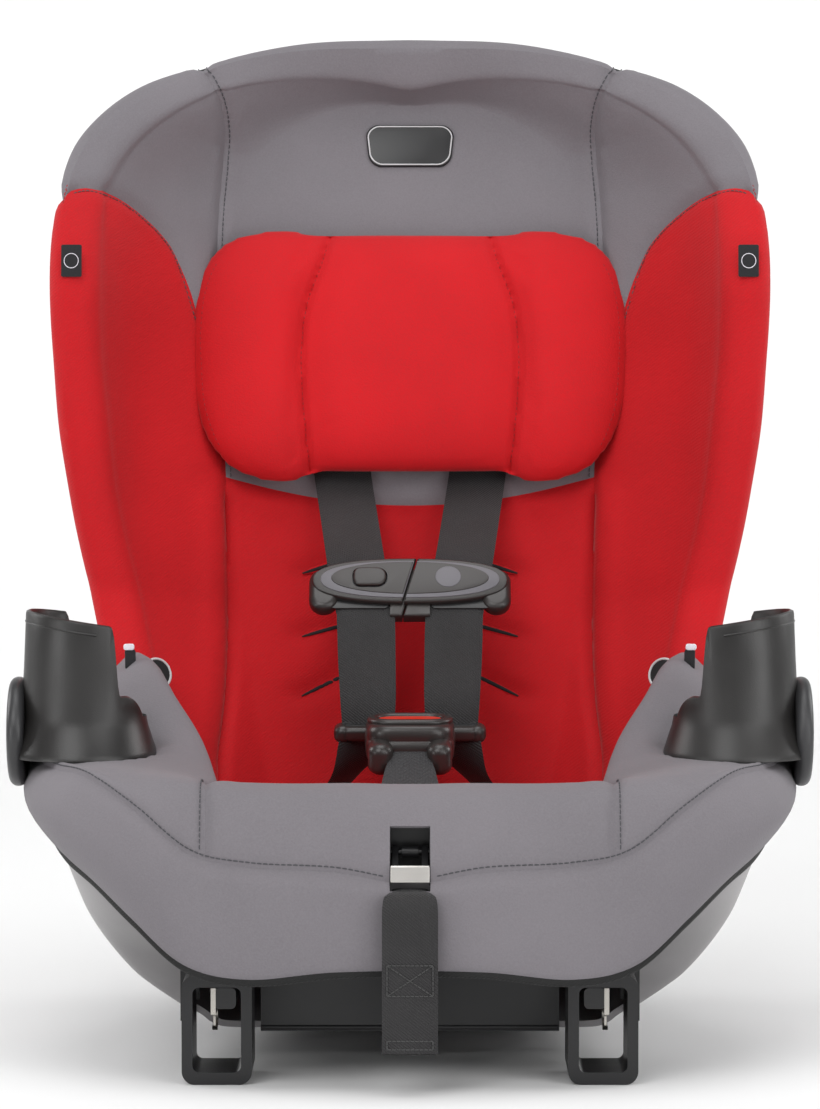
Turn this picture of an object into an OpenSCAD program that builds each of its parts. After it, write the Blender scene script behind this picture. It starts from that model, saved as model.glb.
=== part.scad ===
// Convertible child car seat: padded bucket on a moulded shell, five-point harness,
// two lift-off cup holders and a flip-out recline foot.
// X runs to the viewer's right, Y runs from the front of the seat to its back, Z is up.
// The origin is on the floor, under the middle of the bounding box.

/* [Overall] */
// Overall width, across the cup holders
seat_w = 498; // [494:1:500]
// Overall height of the padded back
seat_h = 650; // [646:1:652]
// Overall depth, from the adjuster strap to the top of the shell
seat_d = 560; // [558:1:562]

/* [Back] */
// Forward-to-back lean of the back, millimetres per millimetre of height
lean = 0.33; // [0.31:0.01:0.34]
// Height where the back meets the seat
bight_z = 165; // [162:1:168]
// Depth position where the back meets the seat
bight_y = 75; // [72:1:76]
// Half width of the flat middle of the back
flat_w = 112; // [108:1:114]
// Thickness of the padding
pad_t = 14; // [12:1:15]
// Wall thickness of the moulded shells
wall = 4; // [3:0.5:4.5]

/* [Harness] */
// Width of the harness webbing
web_w = 38; // [34:1:40]
// Thickness of the webbing
web_t = 1.6; // [1.2:0.1:1.8]
// Width of the chest clip
clip_w = 128; // [124:1:130]
// Travel of the buckle's release button
buckle_travel = 3; // [2:0.5:3]

/* [Cup holders] */
// Inside radius of a cup holder at its floor
cup_r = 35.5; // [34:0.5:36]
// Height of a cup holder's rim on its outer side
cup_top = 277; // [270:1:280]

/* [Recline foot] */
// Outer width of one foot loop
loop_w = 42; // [40:1:43]
// Wall of a foot loop
loop_wall = 5.5; // [5:0.5:6]
// Radius of the pivot rod
rod_r = 4; // [3.5:0.25:4.5]

/* [Hidden] */
$fn = 64;
red = "#d6262c";
grey = "#77757a";
webbing = "#333134";
black = "#1c1b1c";
plastic = "#38363a";
steel = "#b9b7b4";
foam = "#e8e8e6";

// Outline of the padded bucket, seen from the front
wide_z = 500;
waist_z = 285;
arm_z = 178;
side_w = 239;
waist_w = 213;
arm_w = 236;
edge_w = 30;
wing_y = 52;

// Front of the seat
front_y = -262;
plan_y = -100;
roll_w = 120;
roll_z = 178;

// Shell
shell_low_y = bight_y + 52;
shell_top_y = seat_d / 2;
shell_top_z = seat_h - 3;
shell_slope = atan((shell_top_y - shell_low_y) / (shell_top_z - bight_z));
shell_in = 10;
shell_low_z = 166;
tub_back = 185;
arm_back_y = 46;
gap = 0.3;

// Harness places
slot_z = [292, 252, 214];
slot_x = 52;
slot_w = 46;
slot_h = 6;
clip_c = [0, 50, 284];
clip_tilt = 40;
clip_h = 38;
buckle_c = [0, -42, 190];
buckle_tilt = 13;
tongue_v = 36;
strap_x = [49, 47, 45, 33, 29, 27];

// Recline foot
pivot_y = -168;
pivot_z = 68;
foot_front = -232;
foot_back = -176;
loop_x = 115.5;
loop_h = 66;

// Cup holders
cup_x = 203;
cup_y = -115;
cup_floor = 192;
cup_wall = 2.6;
collar_r = 46;
collar_z = 186;

// Pillow
pillow_w = 143;
pillow_low = 351;
pillow_high = 516;
pillow_t = 38;
pillow_gap = 8;

// ---------- small helpers ----------
function mix(a, b, t) = a + (b - a) * t;
function clamp(v, lo, hi) = max(lo, min(hi, v));
function steps(a, b, n) = [for (i = [0:n]) mix(a, b, i / n)];
function unit(v) = v / norm(v);
function quad(a, b, c, d) = [[a, b, c], [a, c, d]];
function sum(v, i = 0) = i < len(v) ? v[i] + sum(v, i + 1) : 0;
function volume(p, f) = sum([for (t = f) cross(p[t[0]], p[t[1]]) * p[t[2]]]);
function flip(f) = [for (t = f) [t[2], t[1], t[0]]];

// Closed solid between two grids of points of the same size
module slab(a, b) {
  rows = len(a) - 1;
  cols = len(a[0]) - 1;
  w = cols + 1;
  k = (rows + 1) * w;
  points = concat([for (r = a) each r], [for (r = b) each r]);
  faces = [
    for (r = [0:rows - 1], c = [0:cols - 1])
      each concat(
        quad(r * w + c, r * w + c + 1, (r + 1) * w + c + 1, (r + 1) * w + c),
        quad(k + r * w + c, k + (r + 1) * w + c, k + (r + 1) * w + c + 1, k + r * w + c + 1)
      ),
    for (c = [0:cols - 1])
      each concat(
        quad(c + 1, c, k + c, k + c + 1),
        quad(rows * w + c, rows * w + c + 1, k + rows * w + c + 1, k + rows * w + c)
      ),
    for (r = [0:rows - 1])
      each concat(
        quad(r * w, (r + 1) * w, k + (r + 1) * w, k + r * w),
        quad((r + 1) * w + cols, r * w + cols, k + r * w + cols, k + (r + 1) * w + cols)
      )
  ];
  polyhedron(points, volume(points, faces) > 0 ? flip(faces) : faces);
}

// Flat webbing along a route; across gives the direction of its width at each point
function ribbon_side(route, across, w, off) = [
  for (i = [0:len(route) - 1])
    let (
      along = unit(route[min(i + 1, len(route) - 1)] - route[max(i - 1, 0)]),
      n = unit(cross(along, across[i])),
      half = across[i] * w[i] / 2
    )
    [route[i] - half + n * off, route[i] + half + n * off]
];
module ribbon(route, across = [1, 0, 0], w = web_w, t = web_t) {
  dirs = is_list(across[0]) ? across : [for (p = route) across];
  widths = is_list(w) ? w : [for (p = route) w];
  slab(ribbon_side(route, dirs, widths, t / 2), ribbon_side(route, dirs, widths, -t / 2));
}

// Flat shapes
module rounded(w, h, r) {
  square([w, h - 2 * r], center = true);
  square([w - 2 * r, h], center = true);
  for (x = [-1, 1], y = [-1, 1])
    translate([x * (w / 2 - r), y * (h / 2 - r)]) circle(r);
}
module box(lo, hi) {
  translate(lo) cube(hi - lo);
}
module both_sides() {
  children();
  mirror([1, 0, 0]) children();
}
// Lays a shape drawn in the XY plane against a tilted part: its Y goes up the part
module on_tilt(centre, angle) {
  translate(centre) rotate([90 - angle, 0, 0]) children();
}
// Shape drawn with its X along Y and its Y along Z, extruded along X from x0 to x1
module across_x(x0, x1) {
  translate([x0, 0, 0]) rotate([90, 0, 90]) linear_extrude(x1 - x0) children();
}

// ---------- outline of the bucket ----------
function half_w(z) =
  z >= wide_z ? side_w * pow(1 - pow((z - wide_z) / (seat_h - wide_z), 3), 1 / 2.3) :
  z >= waist_z ? side_w - (side_w - waist_w) * pow((wide_z - z) / (wide_z - waist_z), 2.2) :
  waist_w + (arm_w - waist_w) * pow(clamp((waist_z - z) / (waist_z - arm_z), 0, 1), 1.5);
function back_y(z) = bight_y + lean * (z - bight_z);
function shell_y(z) =
  mix(shell_low_y, shell_top_y, (z - bight_z) / (shell_top_z - bight_z));
function edge_y(z) =
  z > 470 ? wing_y + 150 * pow((z - 470) / 178, 1.8) :
  z > waist_z ? wing_y : wing_y - 60 * pow((waist_z - z) / (waist_z - bight_z), 1.2);
function inner_w(z) =
  z >= waist_z ? half_w(z) - edge_w :
  waist_w - edge_w - 25 * (waist_z - z) / (waist_z - bight_z);
function flat_x(z) = min(flat_w, 0.62 * inner_w(z));
function bulge(z) = clamp(1.7 + 0.5 * (z - 300) / 150, 1.7, 2.2);

// Point on the padded inner face; a from 0 at the flat back to 90 at the front edge
function inner_pt(z, a, off) =
  let (
    x0 = flat_x(z),
    w = inner_w(z) + off - x0,
    d = back_y(z) + off - edge_y(z),
    n = 2 / bulge(z)
  )
  [x0 + w * pow(sin(a), n), edge_y(z) + d * pow(max(cos(a), 0), n), z];
// The rolled front edge of the padding; a from 0 inside to 180 outside
function lip_pt(z, a, off) =
  let (r = edge_w / 2)
  [inner_w(z) + r - (r - off) * cos(a), edge_y(z) - (12 - off) * sin(a), z];
function side_row(z, off, thick) = concat(
  [for (a = [0, 15, 30, 45, 60, 75]) inner_pt(z, a, mix(off, thick, a / 90))],
  [for (a = [0, 45, 90, 135, 180]) lip_pt(z, a, thick)],
  [[inner_w(z) + edge_w - thick, edge_y(z) + 24, z]]
);
module side_padding(zs) {
  slab([for (z = zs) side_row(z, 0, 0)], [for (z = zs) side_row(z, pad_t, 8)]);
}

// Opening in the front for the harness adjuster and its strap
module adjuster_notch() {
  box([-18, -300, 112], [18, -226, 170]);
}

// ---------- shells ----------
function shell_pt(z, a, off) =
  let (
    w = half_w(z) - shell_in - off,
    y0 = max(edge_y(z), wing_y - 4) + 4,
    n = 2 / 2.8
  )
  [w * sign(a) * pow(abs(sin(a)), n), y0 + (shell_y(z) - off - y0) * pow(max(cos(a), 0), n), z];
shell_as = [for (a = [-90:9:90]) a];
shell_zs = [166, 200, 240, 285, 330, 380, 440, 500, 540, 570, 595, 612, 624, 634, 642, 647];
module seat_shell() {
  color(plastic) difference() {
    slab(
      [for (z = shell_zs) [for (a = shell_as) shell_pt(z, a, 0)]],
      [for (z = shell_zs) [for (a = shell_as) shell_pt(z, a, wall)]]
    );
    // Openings for the vehicle belt, through both sides
    both_sides() box([120, 98, 190], [235, 160, 248]);
    // Harness slots
    for (z = concat([378], slot_z)) both_sides() box(
      [slot_x - slot_w / 2 - 2, back_y(z) + 5, z - 5],
      [slot_x + slot_w / 2 + 2, back_y(z) + 80, z + 5]
    );
  }
}

function plan_pt(a, w, yf, yb) =
  let (n = 2 / 2.8)
  [w * sign(sin(a)) * pow(abs(sin(a)), n),
   plan_y + (cos(a) < 0 ? plan_y - yf : yb - plan_y) * sign(cos(a)) * pow(abs(cos(a)), n)];
// Height, half width, front and back of the tub's outside
tub_rows = [
  [14, 126, -106, 150], [24, 150, -112, 168], [42, 172, -120, 178], [66, 190, -150, 182],
  [88, 201, -206, tub_back], [112, 211, -240, tub_back - 2], [134, 221, -247, tub_back - 14],
  [152, 226, -248, tub_back - 32], [167, 229, -248, tub_back - 52],
  [178, 229, -248, tub_back - 56], [230, 214, -248, tub_back - 56], [262, 207, -248, tub_back - 56]
];
module tub_solid(off) {
  rings = [
    for (r = tub_rows)
      [for (a = [0:10:350]) let (p = plan_pt(a, r[1] - off, r[2] + off, r[3] - off))
        [p[0], p[1], r[0] + (r[0] == tub_rows[0][0] ? off : 0)]]
  ];
  n = len(rings[0]);
  m = len(rings) - 1;
  points = [for (r = rings) each r];
  faces = concat(
    [for (i = [1:n - 2]) [0, i, i + 1]],
    [for (r = [0:m - 1], i = [0:n - 1])
      each quad(r * n + (i + 1) % n, r * n + i, (r + 1) * n + i, (r + 1) * n + (i + 1) % n)],
    [for (i = [1:n - 2]) [m * n, m * n + i + 1, m * n + i]]
  );
  polyhedron(points, volume(points, faces) > 0 ? flip(faces) : faces);
}
// Height of the tub's rim along the armrests
arm_line = [[-250, 126], [-232, 128], [-214, 150], [-150, 160], [-60, 190],
            [0, 205], [30, 196], [arm_back_y + 4, 180]];
module seat_tub() {
  color("#8d8b90") difference() {
    tub_solid(0);
    difference() {
      tub_solid(wall);
      box([-300, -300, 0], [300, 300, 14 + wall]);
    }
    // Everything above the rim
    across_x(-300, 300) polygon(concat(
      arm_line,
      [[arm_back_y + 4, shell_low_z - gap], [300, shell_low_z - gap], [300, 400], [-300, 400],
       [-300, 126]]
    ));
    adjuster_notch();
    // Recess for the recline foot
    box([-141, -300, 0], [141, -92, 84 + gap]);
    // Rear-facing belt openings
    both_sides() box([150, -60, 100], [260, 30, 150]);
  }
}

module base() {
  rib_back = -96;
  color(black) difference() {
    union() {
      box([-91, pivot_y - 6, 24], [91, pivot_y - 2, 84]);
      box([-140, pivot_y - 12, 80], [140, rib_back, 84]);
      // The outer ribs leave room for the foot's loops to fold between them
      both_sides() {
        box([87, pivot_y - 6, 30], [91, rib_back, 81]);
        box([loop_x + loop_w / 2 + gap, pivot_y - 6, 30], [140, rib_back, 81]);
      }
      for (x = [-45, 41]) box([x, pivot_y - 3, 26], [x + 4, rib_back, 81]);
      // Rolled lower edge of the front panel
      across_x(-91, 91) translate([pivot_y - 4, 26]) circle(2.5, $fn = 24);
    }
    across_x(-200, 200) translate([pivot_y, pivot_z]) circle(rod_r + 0.06);
  }
}

module rear_foot() {
  color(black) difference() {
    translate([0, 120, 0]) linear_extrude(14 - gap) rounded(220, 76, 24);
    translate([0, 120, 3]) linear_extrude(14) rounded(196, 52, 14);
  }
}

module seat_deck() {
  front = [[-226, 120], [-196, 123.5], [-196, 127.5], [-226, 124]];
  deck = [[-200, 124], [-60, 118], [60, 112], [96, 112], [96, 116], [60, 116], [-60, 122],
          [-200, 128]];
  color(plastic) difference() {
    union() {
      across_x(-124, 124) polygon(front);
      across_x(-150, 150) polygon(deck);
      both_sides() box([149, -160, 112], [186, 60, 116]);
    }
    box([-22, -112, 100], [22, -100, 130]);
    both_sides() box([92, 46, 100], [132, 60, 130]);
  }
}

// ---------- padding ----------
module flat_padding(zs, thick) {
  cols = [-1, -0.5, 0, 0.5, 1];
  slab(
    [for (z = zs) [for (c = cols) [c * (flat_x(z) - gap), back_y(z), z]]],
    [for (z = zs) [for (c = cols) [c * (flat_x(z) - gap), back_y(z) + thick, z]]]
  );
}
module harness_slits(zs, tall) {
  for (z = zs) both_sides() box(
    [slot_x - slot_w / 2, back_y(z) - 10, z - tall / 2],
    [slot_x + slot_w / 2, back_y(z) + 30, z + tall / 2]
  );
}
split_z = 340;
low_zs = [bight_z, 195, 225, 255, waist_z, 330];
mid_zs = [380, 440];
wing_zs = [wide_z, 530, 555, 578, 598, 615, 628, 638, 645];
module upper_back_pad() {
  color(grey) difference() {
    flat_padding(concat([split_z], mid_zs, wing_zs, [seat_h - 1]), pad_t);
    harness_slits([378], 18);
  }
}
module lower_back_pad() {
  color(red) difference() {
    flat_padding(concat(low_zs, [split_z - gap]), pad_t);
    harness_slits(slot_z, slot_h);
  }
}
module wing_pad() {
  color(grey) side_padding(wing_zs);
}
module side_pad() {
  color(red) difference() {
    side_padding(concat(low_zs, mid_zs, [wide_z - gap]));
    // No back flange where the shell flares out
    box([196, wing_y - 0.6, bight_z - 10], [260, wing_y + 70, waist_z - 1]);
  }
}
module wing_pad_right() { wing_pad(); }
module wing_pad_left() { mirror([1, 0, 0]) wing_pad(); }
module side_pad_right() { side_pad(); }
module side_pad_left() { mirror([1, 0, 0]) side_pad(); }

// Energy-absorbing foam between the wing padding and the shell
module wing_foam() {
  as = [8:9:44];
  zs = [340, 390, 450, 510, 550];
  color(foam) slab(
    [for (z = zs) [for (a = as) inner_pt(z, a, pad_t + 1.5)]],
    [for (z = zs) [for (a = as) inner_pt(z, a, pad_t + 7.5)]]
  );
}
module wing_foam_right() { wing_foam(); }
module wing_foam_left() { mirror([1, 0, 0]) wing_foam(); }

module seat_pad() {
  top = [[-186, 150], [-120, 147], [-20, 141], [66, 140]];
  color(red) difference() {
    across_x(-118, 118) polygon(concat(
      top, [[72, 132], [72, 120], [-60, 124.5], [-186, 131]]
    ));
    box([-21, -114, 110], [21, -98, 160]);
    both_sides() box([86, 42, 110], [130, 80, 160]);
  }
}

module front_cushion() {
  color(grey) difference() {
    across_x(-roll_w + gap, roll_w - gap) union() {
      translate([-214, roll_z - 24]) circle(24);
      polygon([[-214, 156], [-191, 156], [-190, 131], [-236, 129.5], [-258, 131], [-255, 147],
               [-247, 159], [-232, 170]]);
    }
    // Opening for the harness adjuster
    box([-15, -300, 110], [15, -226, 159]);
  }
}

function skirt_pt(a, z, off) =
  let (p = plan_pt(a, arm_w + 2 - off, front_y + off, tub_back))
  [p[0], p[1], z];
// Heights of the skirt's lower and upper edges against the angle round the plan
function skirt_low(a) = let (t = clamp((abs(180 - a) - 24) / 62, 0, 1)) 61 + 72 * t;
function skirt_high(a) = let (t = clamp((abs(180 - a) - 26) / 30, 0, 1)) 129 + 18 * t;
skirt_as = [96:6:264];
module skirt_shape(low, high, off, thick) {
  slab(
    [for (k = [0:4]) [for (a = skirt_as)
      skirt_pt(a, mix(skirt_low(a) + low, skirt_high(a) + high, k / 4), off)]],
    [for (k = [0:4]) [for (a = skirt_as)
      skirt_pt(a, mix(skirt_low(a) + low, skirt_high(a) + high, k / 4), off + thick)]]
  );
}
module front_skirt() {
  color(grey) difference() {
    skirt_shape(7, -gap, 0, 8);
    adjuster_notch();
  }
}
module skirt_binding() {
  color(black) slab(
    [for (k = [0:1]) [for (a = skirt_as) skirt_pt(a, skirt_low(a) + 6 * k, 1)]],
    [for (k = [0:1]) [for (a = skirt_as) skirt_pt(a, skirt_low(a) + 6 * k, 9)]]
  );
}

// Height of the armrest and its inner edge against depth
arm_ys = [-24, -60, -110, -150, -190, -218, -238];
arm_top = [228, 214, 190, 181, 178, 174, 160];
arm_in = [165, 154, 138, 130, 124, 121, 121];
arm_edge = [210, 196, 178, 163, 158, 151, 142];
function arm_out(y) =
  y > plan_y ? arm_w + 2 :
  (arm_w + 2) * pow(1 - pow((plan_y - y) / (plan_y - front_y), 2.8), 1 / 2.8);
function arm_row(i, off) =
  let (
    y = arm_ys[i],
    z = arm_top[i] - off,
    x0 = arm_in[i] + off,
    x1 = min(arm_out(y), half_w(arm_top[i]) + 2) - off * 0.8,
    r = min(14, (x1 - x0) / 3, z - arm_edge[i] - 1)
  )
  [[x0, y, 152], [x0, y, z - r], [x0 + r * 0.3, y, z - r * 0.3], [x0 + r, y, z],
   [x1 - r, y, z], [x1 - r * 0.3, y, z - r * 0.3], [x1, y, z - r],
   [x1, y, arm_edge[i]]];
module armrest_pad() {
  color(grey) difference() {
    slab(
      [for (i = [0:len(arm_ys) - 1]) arm_row(i, 0)],
      [for (i = [0:len(arm_ys) - 1]) arm_row(i, 7)]
    );
    // Seat for the cup holder's collar
    translate([cup_x, cup_y, collar_z]) cylinder(r = collar_r + gap, h = 90);
  }
}
module armrest_pad_right() { armrest_pad(); }
module armrest_pad_left() { mirror([1, 0, 0]) armrest_pad(); }

// ---------- cup holders ----------
module cup_bracket() {
  difference() {
    across_x(240.3, seat_w / 2) intersection() {
      translate([-104, 206]) circle(46);
      translate([-104, 206]) square([110, 76], center = true);
    }
    box([239, -134.5, 180], [245, -85.5, 260]);
    // Clear of the cup holder's collar, all the way up
    translate([cup_x, cup_y, collar_z - 1]) cylinder(r = collar_r + gap, h = 90);
  }
}
module cup_brackets() {
  color(plastic) both_sides() cup_bracket();
}
module cup_holder() {
  color(plastic) difference() {
    union() {
      // Flared collar that sits on the armrest
      translate([cup_x, cup_y, 0]) rotate_extrude($fn = 72) polygon([
        [0, cup_floor - 3], [cup_r + 2, cup_floor - 3], [collar_r - 0.6, collar_z + 0.5],
        [collar_r, collar_z + 2],
        [cup_r + 4.5, 204], [cup_r + cup_wall, 214], [cup_r + 0.4, cup_top],
        [cup_r - 2.2, cup_top], [cup_r - 2.2, cup_floor], [0, cup_floor]
      ]);
      // Tongue that drops into the bracket
      box([240.8, -133.5, 182], [244.4, -86.5, 212]);
      box([232, -130, 204], [244.4, -90, 212]);
    }
    // Hollow for the cup
    translate([cup_x, cup_y, cup_floor]) cylinder(r = cup_r - 1.4, h = 120);
    // Sloping rim, lower on the inner side
    translate([cup_x, cup_y, cup_top - 5]) rotate([0, -10, 0]) translate([-80, -80, 0])
      cube([160, 160, 60]);
    // Cut-away towards the seat
    translate([cup_x - 26, cup_y + 18, 216]) box([-40, -34, 0], [20, 60, 90]);
  }
}
module cup_holder_right() { cup_holder(); }
module cup_holder_left() { mirror([1, 0, 0]) cup_holder(); }

// ---------- harness ----------
clip_v = [0, sin(clip_tilt), cos(clip_tilt)];
buckle_v = [0, cos(buckle_tilt), sin(buckle_tilt)];
strap_top = [
  [strap_x[0], back_y(378) + 40, 379], [strap_x[0], back_y(378) + 4, 378],
  [strap_x[1], back_y(370) - 3, 370], [strap_x[2], back_y(352) - 4, 352],
  clip_c + [strap_x[3] + 3, 0, 0] + 24 * clip_v, clip_c + [strap_x[3], 0, 0] + 20.2 * clip_v
];
strap_mid = [
  clip_c + [strap_x[3], 0, 0] + 20 * clip_v, clip_c + [31, 0, 0],
  clip_c + [strap_x[4], 0, 0] - 20 * clip_v
];
strap_low = [
  clip_c + [strap_x[4], 0, 0] - 20.2 * clip_v, clip_c + [strap_x[4], 0, 0] - 24 * clip_v,
  [strap_x[5], -2, 212], buckle_c + [strap_x[5], 0, 0] + tongue_v * buckle_v + [0, 1.4, 5]
];
module shoulder_strap_right() {
  color(webbing) {
    ribbon(strap_top);
    ribbon(strap_low, w = [web_w, web_w, 36, 34]);
  }
}
module shoulder_strap_left() {
  color(webbing) mirror([1, 0, 0]) {
    ribbon(strap_top);
    ribbon(strap_mid);
    ribbon(strap_low, w = [web_w, web_w, 36, 34]);
  }
}
module clip_strap_right() {
  color(webbing) ribbon(strap_mid);
}
lap_route = [
  buckle_c + [strap_x[5], 0, 0] + tongue_v * buckle_v + [0, 0.6, -5], [33, -3, 180],
  [45, 4, 163], [62, 16, 148], [84, 36, 143.5], [104, 51, 141], [108, 53, 128], [109, 53, 100]
];
lap_across = [for (a = [0, 20, 38, 48, 48, 20, 6, 0]) [cos(a), -sin(a), 0]];
module lap_strap_right() {
  color(webbing) ribbon(lap_route, lap_across, [34, 33, 32, 34, 34, 32, 30, 30]);
}
module lap_strap_left() { mirror([1, 0, 0]) lap_strap_right(); }
module crotch_strap() {
  route = [
    buckle_c - 12 * buckle_v, buckle_c - 27 * buckle_v, buckle_c - 33 * buckle_v - [0, 0, 2],
    [0, -92, 168], [0, -102, 152], [0, -106, 136], [0, -106, 98]
  ];
  color(webbing) ribbon(route, w = [20, 20, 22, 31, 36, 36, 36]);
}
// Webbing behind the shell, from the slots down to the splitter plate
module back_straps() {
  y0 = shell_y(378) + 2;
  color(webbing) {
    both_sides() ribbon([
      [strap_x[0], back_y(378) + 41, 379], [strap_x[0], y0, 378],
      [40, shell_y(362) + 8.4, 364], [24, shell_y(344) + 9, 344]
    ], w = [web_w, web_w, 34, 30]);
    ribbon([
      [0, shell_y(324) + 9, 324], [0, shell_y(260) + 7, 260], [0, shell_y(200) + 9, 200],
      [0, 178, 160], [0, 192, 130], [0, 193, 90], [0, 184, 46]
    ], w = 32);
  }
}
module splitter_plate() {
  color(steel) translate([0, shell_y(334) + 5.5, 334]) rotate([90 - shell_slope, 0, 0])
    linear_extrude(3, center = true) difference() {
      rounded(86, 34, 8);
      translate([0, -10]) rounded(36, 5, 2);
      for (x = [-24, 24]) translate([x, 9]) rounded(32, 5, 2);
    }
}
module anchor_plates() {
  color(steel) {
    both_sides() translate([110, 53, 97]) linear_extrude(2.5) rounded(50, 24, 6);
    translate([0, -106, 95]) linear_extrude(2.5) rounded(60, 26, 6);
  }
}

// Chest clip, drawn flat: X across, Y up the straps, Z out towards the front
module clip_outline() {
  for (x = [-1, 1]) translate([x * (clip_w / 2 - 17), 0]) circle(17);
  square([clip_w - 34, 34], center = true);
}
module clip_half_cut(grow) {
  // Slanting split between the halves
  polygon([[-100, -40], [-5 - grow, -40], [5 - grow, 40], [-100, 40]]);
}
module clip_body() {
  difference() {
    translate([0, 0, -6]) linear_extrude(13) clip_outline();
    // Passages for the two straps
    for (x = [-1, 1]) translate([x * 31, 0, 0]) cube([44, 60, 4.2], center = true);
  }
}
module chest_clip_left() {
  color(plastic) on_tilt(clip_c, clip_tilt) difference() {
    intersection() {
      clip_body();
      translate([0, 0, -20]) linear_extrude(40) clip_half_cut(0.15);
    }
    // Well for the button and its spring
    translate([-27, 1, 2.9]) linear_extrude(10) rounded(25, 17, 6);
    // Socket for the other half's prong
    translate([-14, -9, 2.6]) cube([30, 16, 2], center = false);
  }
}
module chest_clip_right() {
  color(plastic) on_tilt(clip_c, clip_tilt) union() {
    difference() {
      clip_body();
      translate([0, 0, -20]) linear_extrude(40) clip_half_cut(-0.15);
    }
    // Prong that latches in the left half
    translate([-12, -7.5, 2.9]) cube([18, 12, 1.4]);
  }
}
module clip_button() {
  color(black) on_tilt(clip_c, clip_tilt) translate([-27, 1, 5.2]) linear_extrude(2.6)
    rounded(24, 16, 5.5);
}
module clip_spring() {
  color(steel) on_tilt(clip_c, clip_tilt) translate([-27, 1, 2.95]) linear_extrude(2.2)
    difference() {
      circle(4);
      circle(2.6);
    }
}

// Buckle, drawn flat: X across, Y towards the tongues, Z out of its face
module on_buckle() {
  translate(buckle_c) rotate([buckle_tilt, 0, 0]) children();
}
module buckle_body() {
  color(plastic) on_buckle() difference() {
    union() {
      translate([0, 0, -11]) linear_extrude(20) rounded(56, 52, 13);
      translate([0, 4, 8]) linear_extrude(4.5) rounded(50, 34, 15);
    }
    translate([0, 4, 4]) linear_extrude(20) rounded(44, 28, 12);
    // Slots for the tongues and for the crotch strap
    for (x = [-13.2, 13.2]) translate([x, 16, -1]) cube([21, 40, 4], center = true);
    translate([0, -22, 0]) cube([23, 40, 4], center = true);
  }
}
module buckle_button() {
  color("#e0301e") on_buckle() translate([0, 4, 7.6]) linear_extrude(3.6)
    rounded(43.2, 27.2, 11.6);
}
module buckle_spring() {
  color(steel) on_buckle() translate([0, 4, 4.05]) linear_extrude(3.5) difference() {
    circle(5);
    circle(3.6);
  }
}
module tongue() {
  color(plastic) on_buckle() difference() {
    union() {
      translate([4, -2, -2.4]) cube([18.4, 30, 2.8]);
      translate([2, 26.6, -4]) linear_extrude(6) translate([22.5, 9.2]) rounded(45, 18.4, 7);
    }
    translate([27, tongue_v, -10]) linear_extrude(20) rounded(36, 6, 2);
    translate([10, 3, -10]) cylinder(r = 3, h = 20);
  }
}
module tongue_right() { tongue(); }
module tongue_left() { mirror([1, 0, 0]) tongue(); }

// ---------- harness adjuster at the front ----------
lever_y = -241;
lever_z = 141;
module adjuster_housing() {
  color(black) difference() {
    union() {
      both_sides() box([11.5, -252, 122], [14.5, -228, 158]);
      box([-14.5, -231, 122], [14.5, -227, 158]);
    }
    across_x(-20, 20) translate([lever_y, lever_z]) circle(2.06, $fn = 32);
  }
}
module adjuster_pin() {
  color(steel) across_x(-14.4, 14.4) translate([lever_y, lever_z]) circle(2, $fn = 32);
}
module adjuster_lever() {
  color(steel) difference() {
    across_x(-10.8, 10.8) difference() {
      union() {
        translate([lever_y, lever_z]) circle(4.4);
        polygon([[-240, 137.8], [-245, 138.2], [-258, 136], [-261, 134], [-261, 125], [-259, 125],
                 [-259, 132.5], [-256.5, 133.6], [-239, 134.8]]);
      }
      translate([lever_y, lever_z]) circle(2.06, $fn = 32);
    }
    // Room for the spring between the lever's two ears
    box([-6, -247, 137.8], [6, -230, 150]);
    across_x(-6, 6) translate([lever_y, lever_z]) circle(4.6);
  }
}
module adjuster_spring() {
  color(steel) across_x(-5, 5) translate([lever_y, lever_z]) difference() {
    circle(3.4, $fn = 32);
    circle(2.3, $fn = 32);
  }
}
module adjuster_strap() {
  route = [
    [0, -233, 117], [0, -252, 116.6], [0, -266, 117], [0, -274, 112], [0, -277.4, 98],
    [0, -278.8, 60], [0, -279.2, 24]
  ];
  color(webbing) {
    ribbon(route, w = 33);
    // Sewn end loop
    ribbon([[0, -276.8, 80], [0, -277.2, 60], [0, -277.6, 24]], w = 33, t = 1.4);
  }
}

// ---------- top tether, stowed behind the shell ----------
tether_x = 60;
module tether_strap() {
  color(webbing) ribbon([
    for (z = [560, 520, 480, 440]) [tether_x, shell_y(z) + 2, z]
  ], w = 26);
}
module tether_hook() {
  color(steel) translate([tether_x, shell_y(415) + 5, 415]) rotate([-shell_slope, 0, 0]) {
    rotate([90, 0, 0]) linear_extrude(3, center = true) difference() {
      union() {
        translate([0, 14]) rounded(34, 20, 6);
        translate([0, -8]) circle(15);
      }
      translate([0, 17]) rounded(27, 6, 2);
      translate([0, -9]) circle(9);
      translate([4, -14]) square([20, 10]);
    }
  }
}
module tether_gate() {
  color(steel) translate([tether_x, shell_y(415) + 5, 415]) rotate([-shell_slope, 0, 0])
    rotate([90, 0, 0]) linear_extrude(1.6, center = true) {
      translate([9.6, -5.9]) circle(1.3, $fn = 32);
      translate([8.4, -13.4]) square([2.4, 7.5]);
    }
}

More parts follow.
